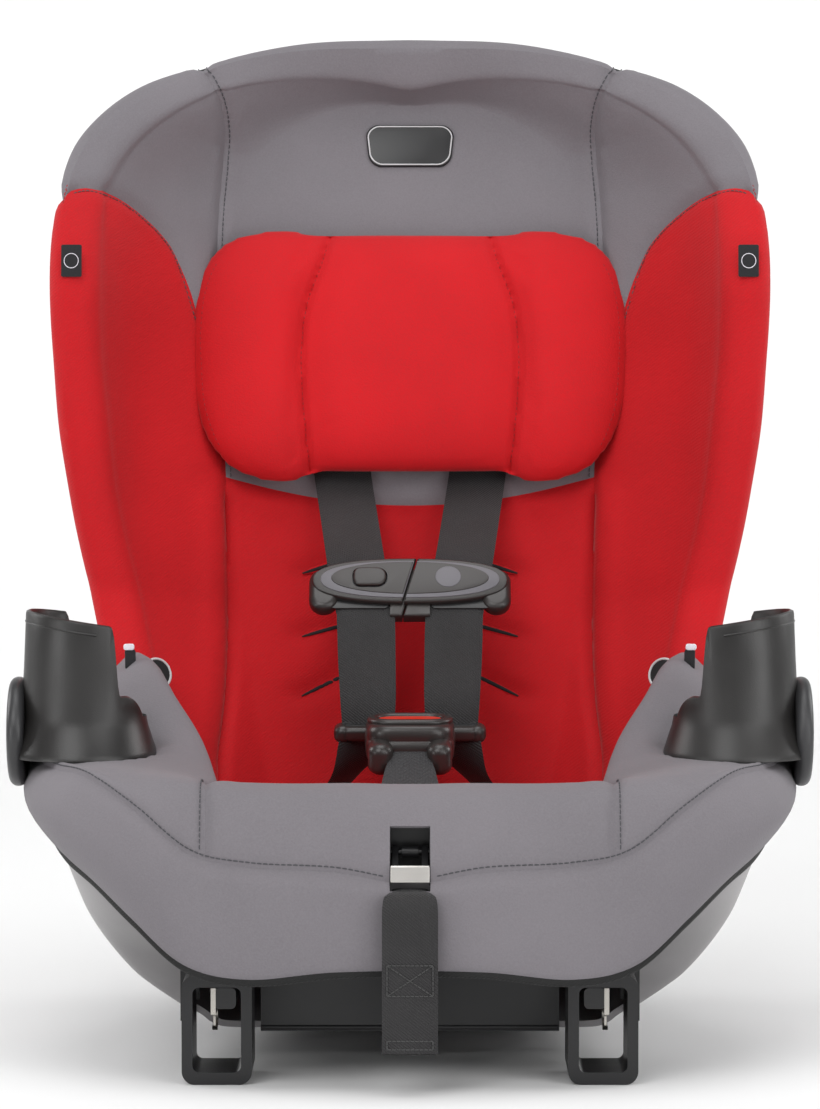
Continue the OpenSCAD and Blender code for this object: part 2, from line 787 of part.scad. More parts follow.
// ---------- badges, tags and screws ----------
module back_badge() {
  z = 577;
  slope = atan(lean);
  color(black) translate([0, back_y(z) - 1.2, z]) rotate([90 - slope, 0, 0])
    linear_extrude(2, center = true) rounded(58, 32, 7);
}
module side_tags() {
  color(black) both_sides() box([219, edge_y(495) - 13.2, 485], [232, edge_y(495) - 12.2, 506]);
}
module pocket_badges() {
  color(black) both_sides() translate([173.6, 23.8, 236.8]) rotate([65, 0, -52])
    cylinder(r = 11, h = 2, center = true);
}
module shell_screws() {
  color(steel) both_sides() for (z = [330, 560])
    translate(shell_pt(z, 30, 0) + [0, 3, 0]) rotate([90 - shell_slope, 0, -12])
      cylinder(r = 5, h = 3, center = true);
}

// ---------- recline foot ----------
module foot_loop() {
  difference() {
    translate([loop_x, foot_back, loop_h / 2]) rotate([90, 0, 0])
      linear_extrude(foot_back - foot_front) rounded(loop_w, loop_h, 8);
    translate([loop_x, foot_back + 1, loop_h / 2]) rotate([90, 0, 0])
      linear_extrude(foot_back - foot_front + 2) rounded(loop_w - 2 * loop_wall - 2, loop_h - 15, 4);
  }
}
module recline_foot() {
  color(black) {
    both_sides() foot_loop();
    both_sides() difference() {
      for (x = [97, 128]) across_x(x, x + 6) union() {
        translate([pivot_y, pivot_z]) circle(7.5);
        polygon([[pivot_y, pivot_z + 5], [foot_back - 8, 62], [foot_back - 4, 44],
                 [pivot_y + 5, pivot_z - 5.6]]);
      }
      across_x(80, 150) translate([pivot_y, pivot_z]) circle(rod_r);
    }
  }
}
module foot_rod() {
  color(steel) across_x(-139, 139) translate([pivot_y, pivot_z]) circle(rod_r);
}

// ---------- lower anchor connectors, stowed on the foot ----------
module latch_connectors() {
  color(black) both_sides() difference() {
    translate([110.5, -219, 52]) rotate([90, 0, 0]) linear_extrude(26, center = true)
      rounded(13, 12.6, 3);
    box([116, -240, 40], [130, -200, 60]);
  }
}
module latch_hooks() {
  color(steel) both_sides() across_x(116.1, 119.1) difference() {
    union() {
      translate([-214, 50]) square([34, 16], center = true);
      translate([-204, 40]) circle(11);
    }
    translate([-205, 38]) circle(6);
    translate([-222, 32]) square([18, 8]);
  }
}
module latch_gate() {
  color(steel) across_x(116.9, 118.3) {
    translate([-211.9, 38.4]) circle(1.3, $fn = 32);
    translate([-213, 33]) square([2.2, 5.4]);
  }
}
module latch_gate_right() { latch_gate(); }
module latch_gate_left() { mirror([1, 0, 0]) latch_gate(); }

// ---------- head pillow ----------
function pillow_half(z) =
  let (
    r = 34,
    d = min(z - pillow_low, pillow_high - z)
  )
  pillow_w - 6 - (d < r ? r - sqrt(r * r - (r - d) * (r - d)) : 0) * 0.9
    + 5 * sin(180 * (z - pillow_low) / (pillow_high - pillow_low));
module head_pillow() {
  zs = [351, 356, 366, 382, 410, 450, 482, 498, 508, 513, 516];
  cols = [-1, -0.9, -0.6, -0.3, 0, 0.3, 0.6, 0.9, 1];
  color(red) slab(
    [for (z = zs) [for (c = cols)
      let (
        v = clamp(min(z - pillow_low, pillow_high - z) / 26, 0, 1),
        e = sqrt(1 - pow(1 - v, 2)) * sqrt(1 - pow(abs(c), 6))
      )
      [c * pillow_half(z), back_y(z) - pillow_gap - 9 - (pillow_t - 9) * e - 4 * pow(c, 2) * e, z]]],
    [for (z = zs) [for (c = cols) [c * pillow_half(z), back_y(z) - pillow_gap, z]]]
  );
}

seat_shell();
seat_tub();
base();
rear_foot();
seat_deck();
upper_back_pad();
lower_back_pad();
wing_pad_left();
wing_pad_right();
side_pad_left();
side_pad_right();
seat_pad();
front_cushion();
front_skirt();
skirt_binding();
armrest_pad_left();
armrest_pad_right();
wing_foam_left();
wing_foam_right();
cup_brackets();
shoulder_strap_left();
shoulder_strap_right();
lap_strap_left();
lap_strap_right();
crotch_strap();
back_straps();
splitter_plate();
anchor_plates();
adjuster_housing();
adjuster_pin();
adjuster_spring();
adjuster_strap();
tether_strap();
tether_hook();
tether_gate();
back_badge();
side_tags();
pocket_badges();
shell_screws();
foot_rod();
recline_foot();
latch_connectors();
latch_hooks();
latch_gate_left();
latch_gate_right();
cup_holder_left();
cup_holder_right();
head_pillow();
chest_clip_left();
chest_clip_right();
clip_strap_right();
clip_button();
clip_spring();
buckle_body();
buckle_button();
buckle_spring();
tongue_left();
tongue_right();
adjuster_lever();
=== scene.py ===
"""Looks of the convertible car seat: fabric cover, webbing, plastics and metal.

Lengths are in millimetres until mesh() turns them into metres. X is to the viewer's
right, Y goes from the front of the seat to its back, and Z is up.
"""
import math

import bmesh
import bpy
import numpy as np
from mathutils import Matrix, Vector, noise
from mathutils.bvhtree import BVHTree
from mathutils.kdtree import KDTree


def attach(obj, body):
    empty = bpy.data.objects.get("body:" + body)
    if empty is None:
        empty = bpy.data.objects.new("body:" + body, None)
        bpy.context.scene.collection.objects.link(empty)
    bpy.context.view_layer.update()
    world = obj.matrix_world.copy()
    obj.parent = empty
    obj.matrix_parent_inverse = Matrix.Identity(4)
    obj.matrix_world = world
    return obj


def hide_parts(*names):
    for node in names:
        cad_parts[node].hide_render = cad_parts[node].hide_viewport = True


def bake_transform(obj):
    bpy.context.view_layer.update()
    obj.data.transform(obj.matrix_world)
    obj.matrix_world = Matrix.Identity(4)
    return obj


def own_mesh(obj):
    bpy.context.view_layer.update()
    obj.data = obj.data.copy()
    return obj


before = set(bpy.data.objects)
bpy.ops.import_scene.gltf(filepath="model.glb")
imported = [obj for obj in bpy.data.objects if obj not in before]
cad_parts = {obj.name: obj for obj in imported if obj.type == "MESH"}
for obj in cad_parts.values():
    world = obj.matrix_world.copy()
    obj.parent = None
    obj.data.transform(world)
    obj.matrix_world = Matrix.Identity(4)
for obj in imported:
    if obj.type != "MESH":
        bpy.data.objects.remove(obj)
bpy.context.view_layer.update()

MM = 0.001
ROOT = "seat"
SIDES = (("right", 1), ("left", -1))
X_MIRROR = np.array([-1, 1, 1])


# ---------------------------------------------------------------- small helpers
def lerp(a, b, t):
    return a + (b - a) * t


def smooth(t):
    """Smooth step from 0 to 1."""
    t = np.clip(t, 0.0, 1.0)
    return t * t * (3 - 2 * t)


def curve(points):
    """Smooth function of one variable through a few (input, output) points."""
    xs = np.array([p[0] for p in points], float)
    ys = np.array([p[1] for p in points], float)
    slopes = np.gradient(ys, xs)

    def value(x):
        x = np.clip(x, xs[0], xs[-1])
        i = np.clip(np.searchsorted(xs, x) - 1, 0, len(xs) - 2)
        h = xs[i + 1] - xs[i]
        t = (x - xs[i]) / h
        return (
            (2 * t**3 - 3 * t**2 + 1) * ys[i]
            + (t**3 - 2 * t**2 + t) * h * slopes[i]
            + (3 * t**2 - 2 * t**3) * ys[i + 1]
            + (t**3 - t**2) * h * slopes[i + 1]
        )

    return value


def resample(points, count):
    """Points evenly spaced along a polyline."""
    points = np.array(points, float)
    s = run_length(points)
    t = np.linspace(0, s[-1], count)
    return np.stack([np.interp(t, s, points[:, k]) for k in range(points.shape[1])], 1)


def unit(vectors):
    """Vectors of length one, from the last axis of an array."""
    vectors = np.asarray(vectors, float)
    return vectors / np.maximum(np.linalg.norm(vectors, axis=-1), 1e-9)[..., None]


def run_length(points):
    """Distance along a polyline at each of its points."""
    return np.concatenate([[0], np.cumsum(np.linalg.norm(np.diff(points, axis=0), axis=1))])


def tree_of(points):
    """Search tree over points."""
    tree = KDTree(len(points))
    for i, p in enumerate(points):
        tree.insert(p, i)
    tree.balance()
    return tree


# ---------------------------------------------------------------- meshes
def mesh(name, verts, faces, material, smooth_angle=40, body=ROOT, slot=None, replaces=()):
    """A mesh piece from millimetre points, riding on a body."""
    data = bpy.data.meshes.new(name)
    data.from_pydata([tuple(v) for v in np.asarray(verts, float) * MM], [], faces)
    data.validate()
    obj = bpy.data.objects.new(name, data)
    bpy.context.scene.collection.objects.link(obj)
    finish(obj, material, smooth_angle)
    place(obj, body, replaces)
    return obj


def finish(obj, material, smooth_angle=40):
    """Outward normals, smooth shading below an angle, and a material."""
    bm = bmesh.new()
    bm.from_mesh(obj.data)
    bmesh.ops.recalc_face_normals(bm, faces=bm.faces)
    limit = math.radians(smooth_angle)
    for f in bm.faces:
        f.smooth = True
    for e in bm.edges:
        e.smooth = not (e.is_manifold and e.calc_face_angle(0) > limit)
    bm.to_mesh(obj.data)
    bm.free()
    if material:
        obj.data.materials.clear()
        obj.data.materials.append(material)


def place(obj, body, replaces=()):
    if body:
        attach(obj, body)
    if replaces:
        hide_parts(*replaces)


def apply_modifiers(obj):
    """Turns an object's modifiers into plain mesh."""
    graph = bpy.context.evaluated_depsgraph_get()
    data = bpy.data.meshes.new_from_object(obj.evaluated_get(graph))
    obj.modifiers.clear()
    old = obj.data
    obj.data = data
    bpy.data.meshes.remove(old)


def grid_faces(rows, cols, closed=False):
    """Quads of a grid of points stored row by row."""
    faces = []
    for r in range(rows - 1):
        for c in range(cols if closed else cols - 1):
            d = (c + 1) % cols
            faces.append([r * cols + c, r * cols + d, (r + 1) * cols + d, (r + 1) * cols + c])
    return faces


class Sheet:
    """A grid in parameter space, which is cut along seams before it is shaped."""

    def __init__(self, rows, cols):
        self.p = [np.array((r, c), float) for r in range(rows) for c in range(cols)]
        self.faces = grid_faces(rows, cols)
        self.labels = [()] * len(self.faces)

    def cut(self, side, snap=0.2):
        """Cuts the faces along side(params) == 0 and labels each one True above it."""
        value = side(np.array(self.p))
        crossings = {}
        edges = {tuple(sorted((f[i], f[i - 1]))) for f in self.faces for i in range(len(f))}
        for a, b in sorted(edges):
            if value[a] * value[b] < 0:
                t = value[a] / (value[a] - value[b])
                if t < snap or t > 1 - snap:
                    near, other = (a, b) if t < snap else (b, a)
                    t = t if near == a else 1 - t
                    self.p[near] = lerp(self.p[near], self.p[other], t)
                    value[near] = 0.0
        for a, b in sorted(edges):
            if value[a] * value[b] < 0:
                t = value[a] / (value[a] - value[b])
                crossings[(a, b)] = len(self.p)
                self.p.append(lerp(self.p[a], self.p[b], t))
        value = np.concatenate([value, np.zeros(len(self.p) - len(value))])
        faces, labels = [], []
        for f, label in zip(self.faces, self.labels):
            ring = []
            for i, a in enumerate(f):
                b = f[(i + 1) % len(f)]
                ring.append(a)
                key = (min(a, b), max(a, b))
                if key in crossings:
                    ring.append(crossings[key])
            on = [i for i, v in enumerate(ring) if value[v] == 0]
            parts = [ring]
            signs = {np.sign(value[v]) for v in ring} - {0}
            if len(signs) == 2 and len(on) >= 2:
                i, j = on[0], on[-1]
                parts = [ring[i : j + 1], ring[j:] + ring[: i + 1]]
            for part in parts:
                if len(part) < 3:
                    continue
                faces.append(part)
                labels.append(label + (sum(value[v] for v in part) > 0,))
        self.faces, self.labels = faces, labels

    def part(self, points, keep):
        """Points and faces of the faces whose label keep() accepts."""
        faces = [f for f, label in zip(self.faces, self.labels) if keep(label)]
        used = sorted({v for f in faces for v in f})
        index = {v: i for i, v in enumerate(used)}
        return points[used], [[index[v] for v in f] for f in faces], used


def vertex_normals(points, faces):
    """Normals of a mesh's points, as they lie."""
    normals = np.zeros_like(points)
    for f in faces:
        a, b, c = points[f[0]], points[f[len(f) // 3]], points[f[2 * len(f) // 3]]
        normals[f] += np.cross(b - a, c - a)
    return unit(normals)


def thicken(points, faces, depth, normals=None):
    """Closes a skin into a solid by adding a back skin, depth behind it."""
    normals = vertex_normals(points, faces) if normals is None else normals
    n = len(points)
    verts = np.concatenate([points, points - normals * depth])
    both = [list(f) for f in faces] + [[v + n for v in reversed(f)] for f in faces]
    count = {}
    for f in faces:
        for i, a in enumerate(f):
            b = f[(i + 1) % len(f)]
            count[(a, b)] = 1
    for a, b in count:
        if (b, a) not in count:
            both.append([b, a, a + n, b + n])
    return verts, both


def sweep(route, section, closed_ends=True, ups=None):
    """Tube of any closed section along a route. section is a list of (side, up) points."""
    route = np.asarray(route, float)
    section = np.asarray(section, float)
    tangent = unit(np.gradient(route, axis=0))
    up = np.array([0.0, 0.0, 1.0]) if ups is None else None
    verts = []
    for i, p in enumerate(route):
        if ups is not None:
            up = np.asarray(ups[i], float)
        side = unit(np.cross(tangent[i], up))
        true_up = np.cross(side, tangent[i])
        verts.append(p + section[:, :1] * side + section[:, 1:] * true_up)
        up = true_up if ups is None else up
    rows, cols = len(route), len(section)
    faces = grid_faces(rows, cols, closed=True)
    if closed_ends:
        faces.append(list(range(cols))[::-1])
        faces.append([(rows - 1) * cols + c for c in range(cols)])
    return np.concatenate(verts), faces


def ring_section(radius, count=10, flat=1.0):
    a = np.linspace(0, 2 * math.pi, count, endpoint=False)
    return np.stack([radius * np.cos(a), radius * flat * np.sin(a)], 1)


def rounded_outline(w, h, r, per_corner=6):
    """Points round a rectangle with round corners, centred on the origin."""
    points = []
    for cx, cy, start in ((1, 1, 0), (-1, 1, 90), (-1, -1, 180), (1, -1, 270)):
        for k in range(per_corner + 1):
            a = math.radians(start + 90 * k / per_corner)
            points.append((cx * (w / 2 - r) + r * math.cos(a), cy * (h / 2 - r) + r * math.sin(a)))
    return points


def extrude(outline, z0, z1, bevel=0.0, steps=3):
    """Solid from a flat outline, with its rims rounded by bevel."""
    outline = np.asarray(outline, float)
    centre = outline.mean(0)
    size = np.abs(outline - centre).max(0)
    angles = [math.pi / 2 * k / steps for k in range(steps + 1)] if bevel else [math.pi / 2]
    low = [(z0 + bevel * (1 - math.cos(a)), bevel * (1 - math.sin(a))) for a in angles]
    levels = low + [(z0 + z1 - z, inset) for z, inset in reversed(low)]
    verts = []
    for z, inset in levels:
        flat = centre + (outline - centre) * (size - inset) / size
        verts += [(x, y, z) for x, y in flat]
    n, rows = len(outline), len(levels)
    faces = grid_faces(rows, n, closed=True)
    faces.append(list(range(n))[::-1])
    faces.append([(rows - 1) * n + c for c in range(n)])
    return np.array(verts), faces


def pocketed(outline, hole, z0, z1, floor, bevel, steps=5):
    """extrude() with a flat-bottomed pocket in its top. hole has as many points as outline."""
    verts, faces = extrude(outline, z0, z1, bevel, steps)
    n = len(outline)
    last = len(verts) - n
    verts = np.concatenate([verts, [(x, y, z1) for x, y in hole], [(x, y, floor) for x, y in hole]])
    faces = faces[:-1] + [[i + last for i in face] for face in grid_faces(3, n, closed=True)]
    faces.append([last + 2 * n + c for c in range(n)])
    return verts, faces


def transform(points, matrix):
    m = np.array(matrix)
    return np.asarray(points, float) @ m[:3, :3].T + m[:3, 3]


def joined(parts):
    """Several (verts, faces) as one."""
    verts, faces = [], []
    for v, f in parts:
        n = sum(len(x) for x in verts)
        verts.append(np.asarray(v, float))
        faces += [[i + n for i in face] for face in f]
    return np.concatenate(verts), faces


def mirrored(points, faces):
    return np.asarray(points) * X_MIRROR, [list(reversed(f)) for f in faces]


def whole(points, faces):
    """A right half together with its mirror image."""
    return joined([(points, faces), mirrored(points, faces)])


def closed_pair(rows, cols):
    """Faces of a front and a back grid, stored one after the other and joined at their rims."""
    m = rows * cols
    front = grid_faces(rows, cols)
    faces = front + [[m + v for v in reversed(f)] for f in front]
    rim = ([c for c in range(cols)] + [r * cols + cols - 1 for r in range(1, rows)]
           + [(rows - 1) * cols + c for c in range(cols - 2, -1, -1)]
           + [r * cols for r in range(rows - 2, 0, -1)])
    return faces + [[a, b, b + m, a + m] for a, b in zip(rim, rim[1:] + rim[:1])]


def ellipse(x, y, rx, ry, count):
    """Points round an ellipse."""
    return [(x + rx * math.cos(t), y + ry * math.sin(t))
            for t in np.linspace(0, 2 * math.pi, count + 1)[:-1]]


# ---------------------------------------------------------------- materials
class Nodes:
    """Short way to build a material's nodes."""

    def __init__(self, name):
        self.material = bpy.data.materials.new(name)
        self.material.use_nodes = True
        self.tree = self.material.node_tree
        self.shader = self.tree.nodes["Principled BSDF"]
        self.coords = self.add("ShaderNodeTexCoord").outputs["Object"]

    def add(self, kind, inputs=None, **settings):
        node = self.tree.nodes.new(kind)
        for key, value in settings.items():
            setattr(node, key, value)
        for key, value in (inputs or {}).items():
            self.set(node.inputs[key], value)
        return node

    def set(self, socket, value):
        if isinstance(value, bpy.types.NodeSocket):
            self.tree.links.new(value, socket)
        else:
            socket.default_value = value

    def math(self, operation, a, b):
        node = self.add("ShaderNodeMath", operation=operation)
        for socket, value in zip(node.inputs, (a, b)):
            self.set(socket, value)
        return node.outputs[0]

    def noise(self, scale, detail=2.0, rough=0.5, stretch=None):
        coords = self.coords
        if stretch:
            mapping = self.add("ShaderNodeMapping", {"Vector": coords, "Scale": stretch})
            coords = mapping.outputs[0]
        node = self.add("ShaderNodeTexNoise", {"Vector": coords, "Scale": scale,
                                               "Detail": detail, "Roughness": rough})
        return node.outputs["Fac"]

    def ramp(self, value, low, high):
        """Value stretched so that low gives 0 and high gives 1."""
        node = self.add("ShaderNodeMapRange", {"Value": value, "From Min": low,
                                               "From Max": high})
        return node.outputs[0]

    def blend(self, factor, a, b):
        node = self.add("ShaderNodeMix", data_type="RGBA")
        # A Mix node's colour sockets come after its number and vector ones
        self.set(node.inputs[0], factor)
        self.set(node.inputs[6], a)
        self.set(node.inputs[7], b)
        return node.outputs[2]

    def bump(self, height, distance, strength=1.0, below=None):
        node = self.add("ShaderNodeBump", {"Height": height, "Distance": distance,
                                           "Strength": strength})
        if below:
            self.set(node.inputs["Normal"], below)
        return node.outputs[0]

    def rough(self, value, low, high):
        node = self.add("ShaderNodeMapRange", {"Value": value, "To Min": low, "To Max": high})
        self.set(self.shader.inputs["Roughness"], node.outputs[0])

    def done(self, color=None, normal=None, **sockets):
        if color is not None:
            self.set(self.shader.inputs["Base Color"], color)
        if normal is not None:
            self.set(self.shader.inputs["Normal"], normal)
        for key, value in sockets.items():
            self.shader.inputs[key.replace("_", " ")].default_value = value
        return self.material


def shade(color, factor):
    return tuple(c * factor for c in color[:3]) + (1.0,)


def knit(name, color, rib=0.0, dark=0.8):
    """Brushed knit cover fabric. rib adds a fine diagonal texture."""
    n = Nodes(name)
    broad = n.ramp(n.noise(9.0, 3.0), 0.3, 0.7)
    fine = n.ramp(n.noise(900.0, 2.0, 0.6), 0.3, 0.7)
    tone = n.blend(broad, shade(color, dark), shade(color, 1.0))
    fleck = n.blend(n.math("MULTIPLY", fine, 0.35), tone, shade(color, 1.35))
    # Rows of small loops, crossing on the slant
    rotated = n.add("ShaderNodeMapping", {"Vector": n.coords,
                                          "Rotation": (0.0, math.radians(38), 0.0)}).outputs[0]
    waves = n.add("ShaderNodeTexWave", {"Vector": rotated, "Scale": 190.0, "Distortion": 2.2,
                                        "Detail": 1.0, "Detail Scale": 3.0},
                  bands_direction="Z").outputs["Fac"]
    loops = n.add("ShaderNodeTexVoronoi", {"Vector": n.coords, "Scale": 750.0},
                  feature="F1").outputs["Distance"]
    height = n.math("ADD", n.math("MULTIPLY", loops, 0.6), n.math("MULTIPLY", fine, 0.5))
    normal = n.bump(height, 0.00022, 0.55)
    if rib:
        normal = n.bump(waves, 0.0003, rib, below=normal)
        fleck = n.blend(n.math("MULTIPLY", waves, 0.16), fleck, shade(color, 0.72))
    n.rough(fine, 0.72, 0.9)
    return n.done(fleck, normal, Sheen_Weight=0.08, Sheen_Roughness=0.4,
                  Specular_IOR_Level=0.25)


def woven(name, color, pitch=1.5, herring=False):
    """Twill webbing. Its UV map holds metres across and along the strap."""
    n = Nodes(name)
    uv = n.add("ShaderNodeTexCoord").outputs["UV"]
    if herring:
        parts = n.add("ShaderNodeSeparateXYZ", {"Vector": uv})
        across = n.math("PINGPONG", parts.outputs[0], 0.006)
        uv = n.add("ShaderNodeCombineXYZ", {"X": across, "Y": parts.outputs[1]}).outputs[0]
    turned = n.add("ShaderNodeMapping", {"Vector": uv,
                                         "Rotation": (0.0, 0.0, math.radians(52))}).outputs[0]
    scale = 2 * math.pi / (20 * pitch * MM)
    twill = n.add("ShaderNodeTexWave", {"Vector": turned, "Scale": scale, "Distortion": 0.5,
                                        "Detail": 1.0}, bands_direction="X").outputs["Fac"]
    warp = n.add("ShaderNodeTexWave", {"Vector": uv, "Scale": scale * 1.4, "Distortion": 0.2},
                 bands_direction="X").outputs["Fac"]
    fine = n.ramp(n.noise(1600.0, 1.0), 0.3, 0.7)
    broad = n.ramp(n.noise(25.0, 2.0), 0.3, 0.7)
    tone = n.blend(broad, shade(color, 0.8), shade(color, 1.15))
    tone = n.blend(n.math("MULTIPLY", twill, 0.35), tone, shade(color, 1.9))
    tone = n.blend(n.math("MULTIPLY", warp, 0.2), tone, shade(color, 0.5))
    height = n.math("ADD", n.math("ADD", twill, n.math("MULTIPLY", warp, 0.5)),
                    n.math("MULTIPLY", fine, 0.3))
    n.rough(fine, 0.5, 0.72)
    return n.done(tone, n.bump(height, 0.0003, 0.8), Sheen_Weight=0.12, Sheen_Roughness=0.4,
                  Specular_IOR_Level=0.35)


def plastic(name, color, rough=0.42, grain=0.5):
    """Moulded plastic with a fine spark-eroded grain and slight wear."""
    n = Nodes(name)
    fine = n.noise(2600.0, 1.0)
    broad = n.ramp(n.noise(14.0, 3.0), 0.35, 0.65)
    tone = n.blend(broad, shade(color, 0.86), shade(color, 1.1))
    pits = n.add("ShaderNodeTexVoronoi", {"Vector": n.coords, "Scale": 1500.0},
                 feature="F1").outputs["Distance"]
    height = n.math("ADD", fine, n.math("MULTIPLY", pits, 0.5))
    mixed = n.math("ADD", n.math("MULTIPLY", broad, 0.6), n.math("MULTIPLY", fine, 0.4))
    n.rough(mixed, rough - 0.07, rough + 0.09)
    return n.done(tone, n.bump(height, 0.00008, grain), Specular_IOR_Level=0.5)


def metal(name, color, rough=0.3, stretch=(1.0, 40.0, 40.0)):
    """Brushed or plated metal. The brushing runs along the axis with the least stretch."""
    n = Nodes(name)
    lines = n.noise(120.0, 3.0, 0.6, stretch=stretch)
    broad = n.ramp(n.noise(30.0, 2.0), 0.3, 0.7)
    tone = n.blend(broad, shade(color, 0.85), shade(color, 1.05))
    n.rough(lines, rough - 0.1, rough + 0.15)
    return n.done(tone, n.bump(lines, 0.00006, 0.5), Metallic=1.0)


def bead_foam(name):
    n = Nodes(name)
    cells = n.add("ShaderNodeTexVoronoi", {"Vector": n.coords, "Scale": 320.0},
                  feature="DISTANCE_TO_EDGE").outputs["Distance"]
    edge = n.ramp(cells, 0.0, 0.25)
    tone = n.blend(edge, (0.62, 0.62, 0.61, 1), (0.85, 0.85, 0.84, 1))
    return n.done(tone, n.bump(edge, 0.0003, 0.5), Roughness=0.75)


RED = (0.50, 0.0062, 0.0105)
GREY = (0.172, 0.160, 0.174)
M = {
    "red": knit("red_knit", RED, rib=0.0),
    "red_rib": knit("red_diagonal_knit", RED, rib=0.35),
    "grey": knit("grey_knit", GREY, dark=0.86),
    "binding": knit("black_binding", (0.018, 0.018, 0.018), rib=0.6),
    "thread_red": plastic("red_thread", (0.30, 0.004, 0.008), 0.7),
    "thread_grey": plastic("grey_thread", (0.055, 0.055, 0.062), 0.7),
    "thread_black": plastic("black_thread", (0.05, 0.05, 0.05), 0.7),
    "webbing": woven("webbing_twill", (0.018, 0.017, 0.018)),
    "herringbone": woven("webbing_herringbone", (0.026, 0.025, 0.027), 2.4, True),
    "shell": plastic("shell_plastic", (0.030, 0.030, 0.032), 0.4, 0.6),
    "tub": plastic("tub_plastic", (0.26, 0.25, 0.255), 0.34, 0.4),
    "base": plastic("base_plastic", (0.010, 0.010, 0.011), 0.33, 0.3),
    "cup": plastic("cup_plastic", (0.016, 0.015, 0.0145), 0.34, 0.8),
    "clip": plastic("clip_plastic", (0.026, 0.022, 0.021), 0.34, 0.4),
    "clip_pale": plastic("clip_pale_inlay", (0.115, 0.11, 0.125), 0.4, 0.4),
    "button_red": plastic("buckle_button_red", (0.72, 0.035, 0.012), 0.34, 0.2),
    "steel": metal("brushed_steel", (0.62, 0.60, 0.57)),
    "plated": metal("plated_steel", (0.52, 0.50, 0.46), 0.28, (20.0, 20.0, 20.0)),
    "foam": bead_foam("wing_foam"),
    "badge": plastic("badge_black", (0.012, 0.012, 0.013), 0.32, 0.2),
    "ring": plastic("badge_ring", (0.55, 0.55, 0.56), 0.35, 0.2),
    "white": knit("white_label", (0.75, 0.72, 0.78)),
    "tag": knit("tag_cloth", (0.020, 0.020, 0.022)),
}


# ---------------------------------------------------------------- shape of the bucket
BIGHT_Z, WAIST_Z, WIDE_Z, TOP_Z = 165, 285, 500, 647
SIDE_W, WAIST_W = 233.5, 208
LIP_R = 15
LEAN = 0.33


def half_w(z):
    """Half width of the padded outline at a height."""
    z = np.asarray(z, float)
    high = SIDE_W * (1 - np.clip((z - WIDE_Z) / (TOP_Z - WIDE_Z), 0, 1) ** 3) ** (1 / 2.3)
    middle = SIDE_W - (SIDE_W - WAIST_W) * (np.clip(WIDE_Z - z, 0, None) / 215) ** 2.2
    low = WAIST_W - 25 * (WAIST_Z - z) / (WAIST_Z - BIGHT_Z)
    return np.where(z >= WIDE_Z, high, np.where(z >= WAIST_Z, middle, low))


def back_y(z):
    return 75 + LEAN * (np.asarray(z, float) - BIGHT_Z)


def edge_y(z):
    """Depth of the padding's rolled front edge at a height of the outline."""
    z = np.asarray(z, float)
    high = 52 + 150 * (np.clip(z - 470, 0, None) / 178) ** 1.8
    low = 52 - 60 * (np.clip(WAIST_Z - z, 0, None) / 120) ** 1.2
    return np.where(z > WAIST_Z, high, low)


def shell_y(z):
    return lerp(127, 280, (np.asarray(z, float) - BIGHT_Z) / 482)


def outline():
    """The bucket's right half outline, (x, z), from the bottom up and over the top."""
    side = [(float(half_w(z)), z) for z in np.linspace(150, WIDE_Z, 60)]
    over = []
    for a in np.radians(np.linspace(1, 90, 90)):
        over.append((SIDE_W * math.cos(a) ** (2 / 2.3),
                     WIDE_Z + (TOP_Z - WIDE_Z) * math.sin(a) ** (2 / 3)))
    return np.array(side + over)


# Seams of the cover as seen from the front, in (x, z)
SEAM_CENTRE = [(120, 140), (122, 165), (119, 207), (122, 351), (126, 430), (129, 515), (128, 539),
               (125.5, 565), (124.5, 588), (128.7, 609), (135, 622), (147, 636), (156, 652)]
SEAM_WING = [(118, 352), (124, 374), (132, 414), (137, 440), (142, 463), (147, 480), (152.5, 494),
             (158, 506), (166, 517), (176, 527), (190, 538), (203, 544), (214, 546), (224, 543),
             (233, 536), (250, 524)]
seam_centre_x = curve([(z, x) for x, z in SEAM_CENTRE])
seam_wing_z = curve(SEAM_WING)


def seam_low_z(x):
    return 334 + 12 * (x / 97) ** 2


def grid_normals(points, probe, facing_y):
    """Normals of a grid. The one at probe gets a Y of the same sign as facing_y."""
    normals = unit(np.cross(np.gradient(points, axis=0), np.gradient(points, axis=1)))
    return normals if normals[probe][1] * facing_y >= 0 else -normals


class Grid:
    """Values between the points of a grid."""

    def __init__(self, rows, cols):
        self.rows, self.cols = rows, cols

    def at(self, params, values):
        r = np.clip(params[:, 0], 0, self.rows - 1.001)
        c = np.clip(params[:, 1], 0, self.cols - 1.001)
        i, j = r.astype(int), c.astype(int)
        fr, fc = r - i, c - j
        if values.ndim == 3:
            fr, fc = fr[:, None], fc[:, None]
        low = lerp(values[i, j], values[i, j + 1], fc)
        high = lerp(values[i + 1, j], values[i + 1, j + 1], fc)
        return lerp(low, high, fr)


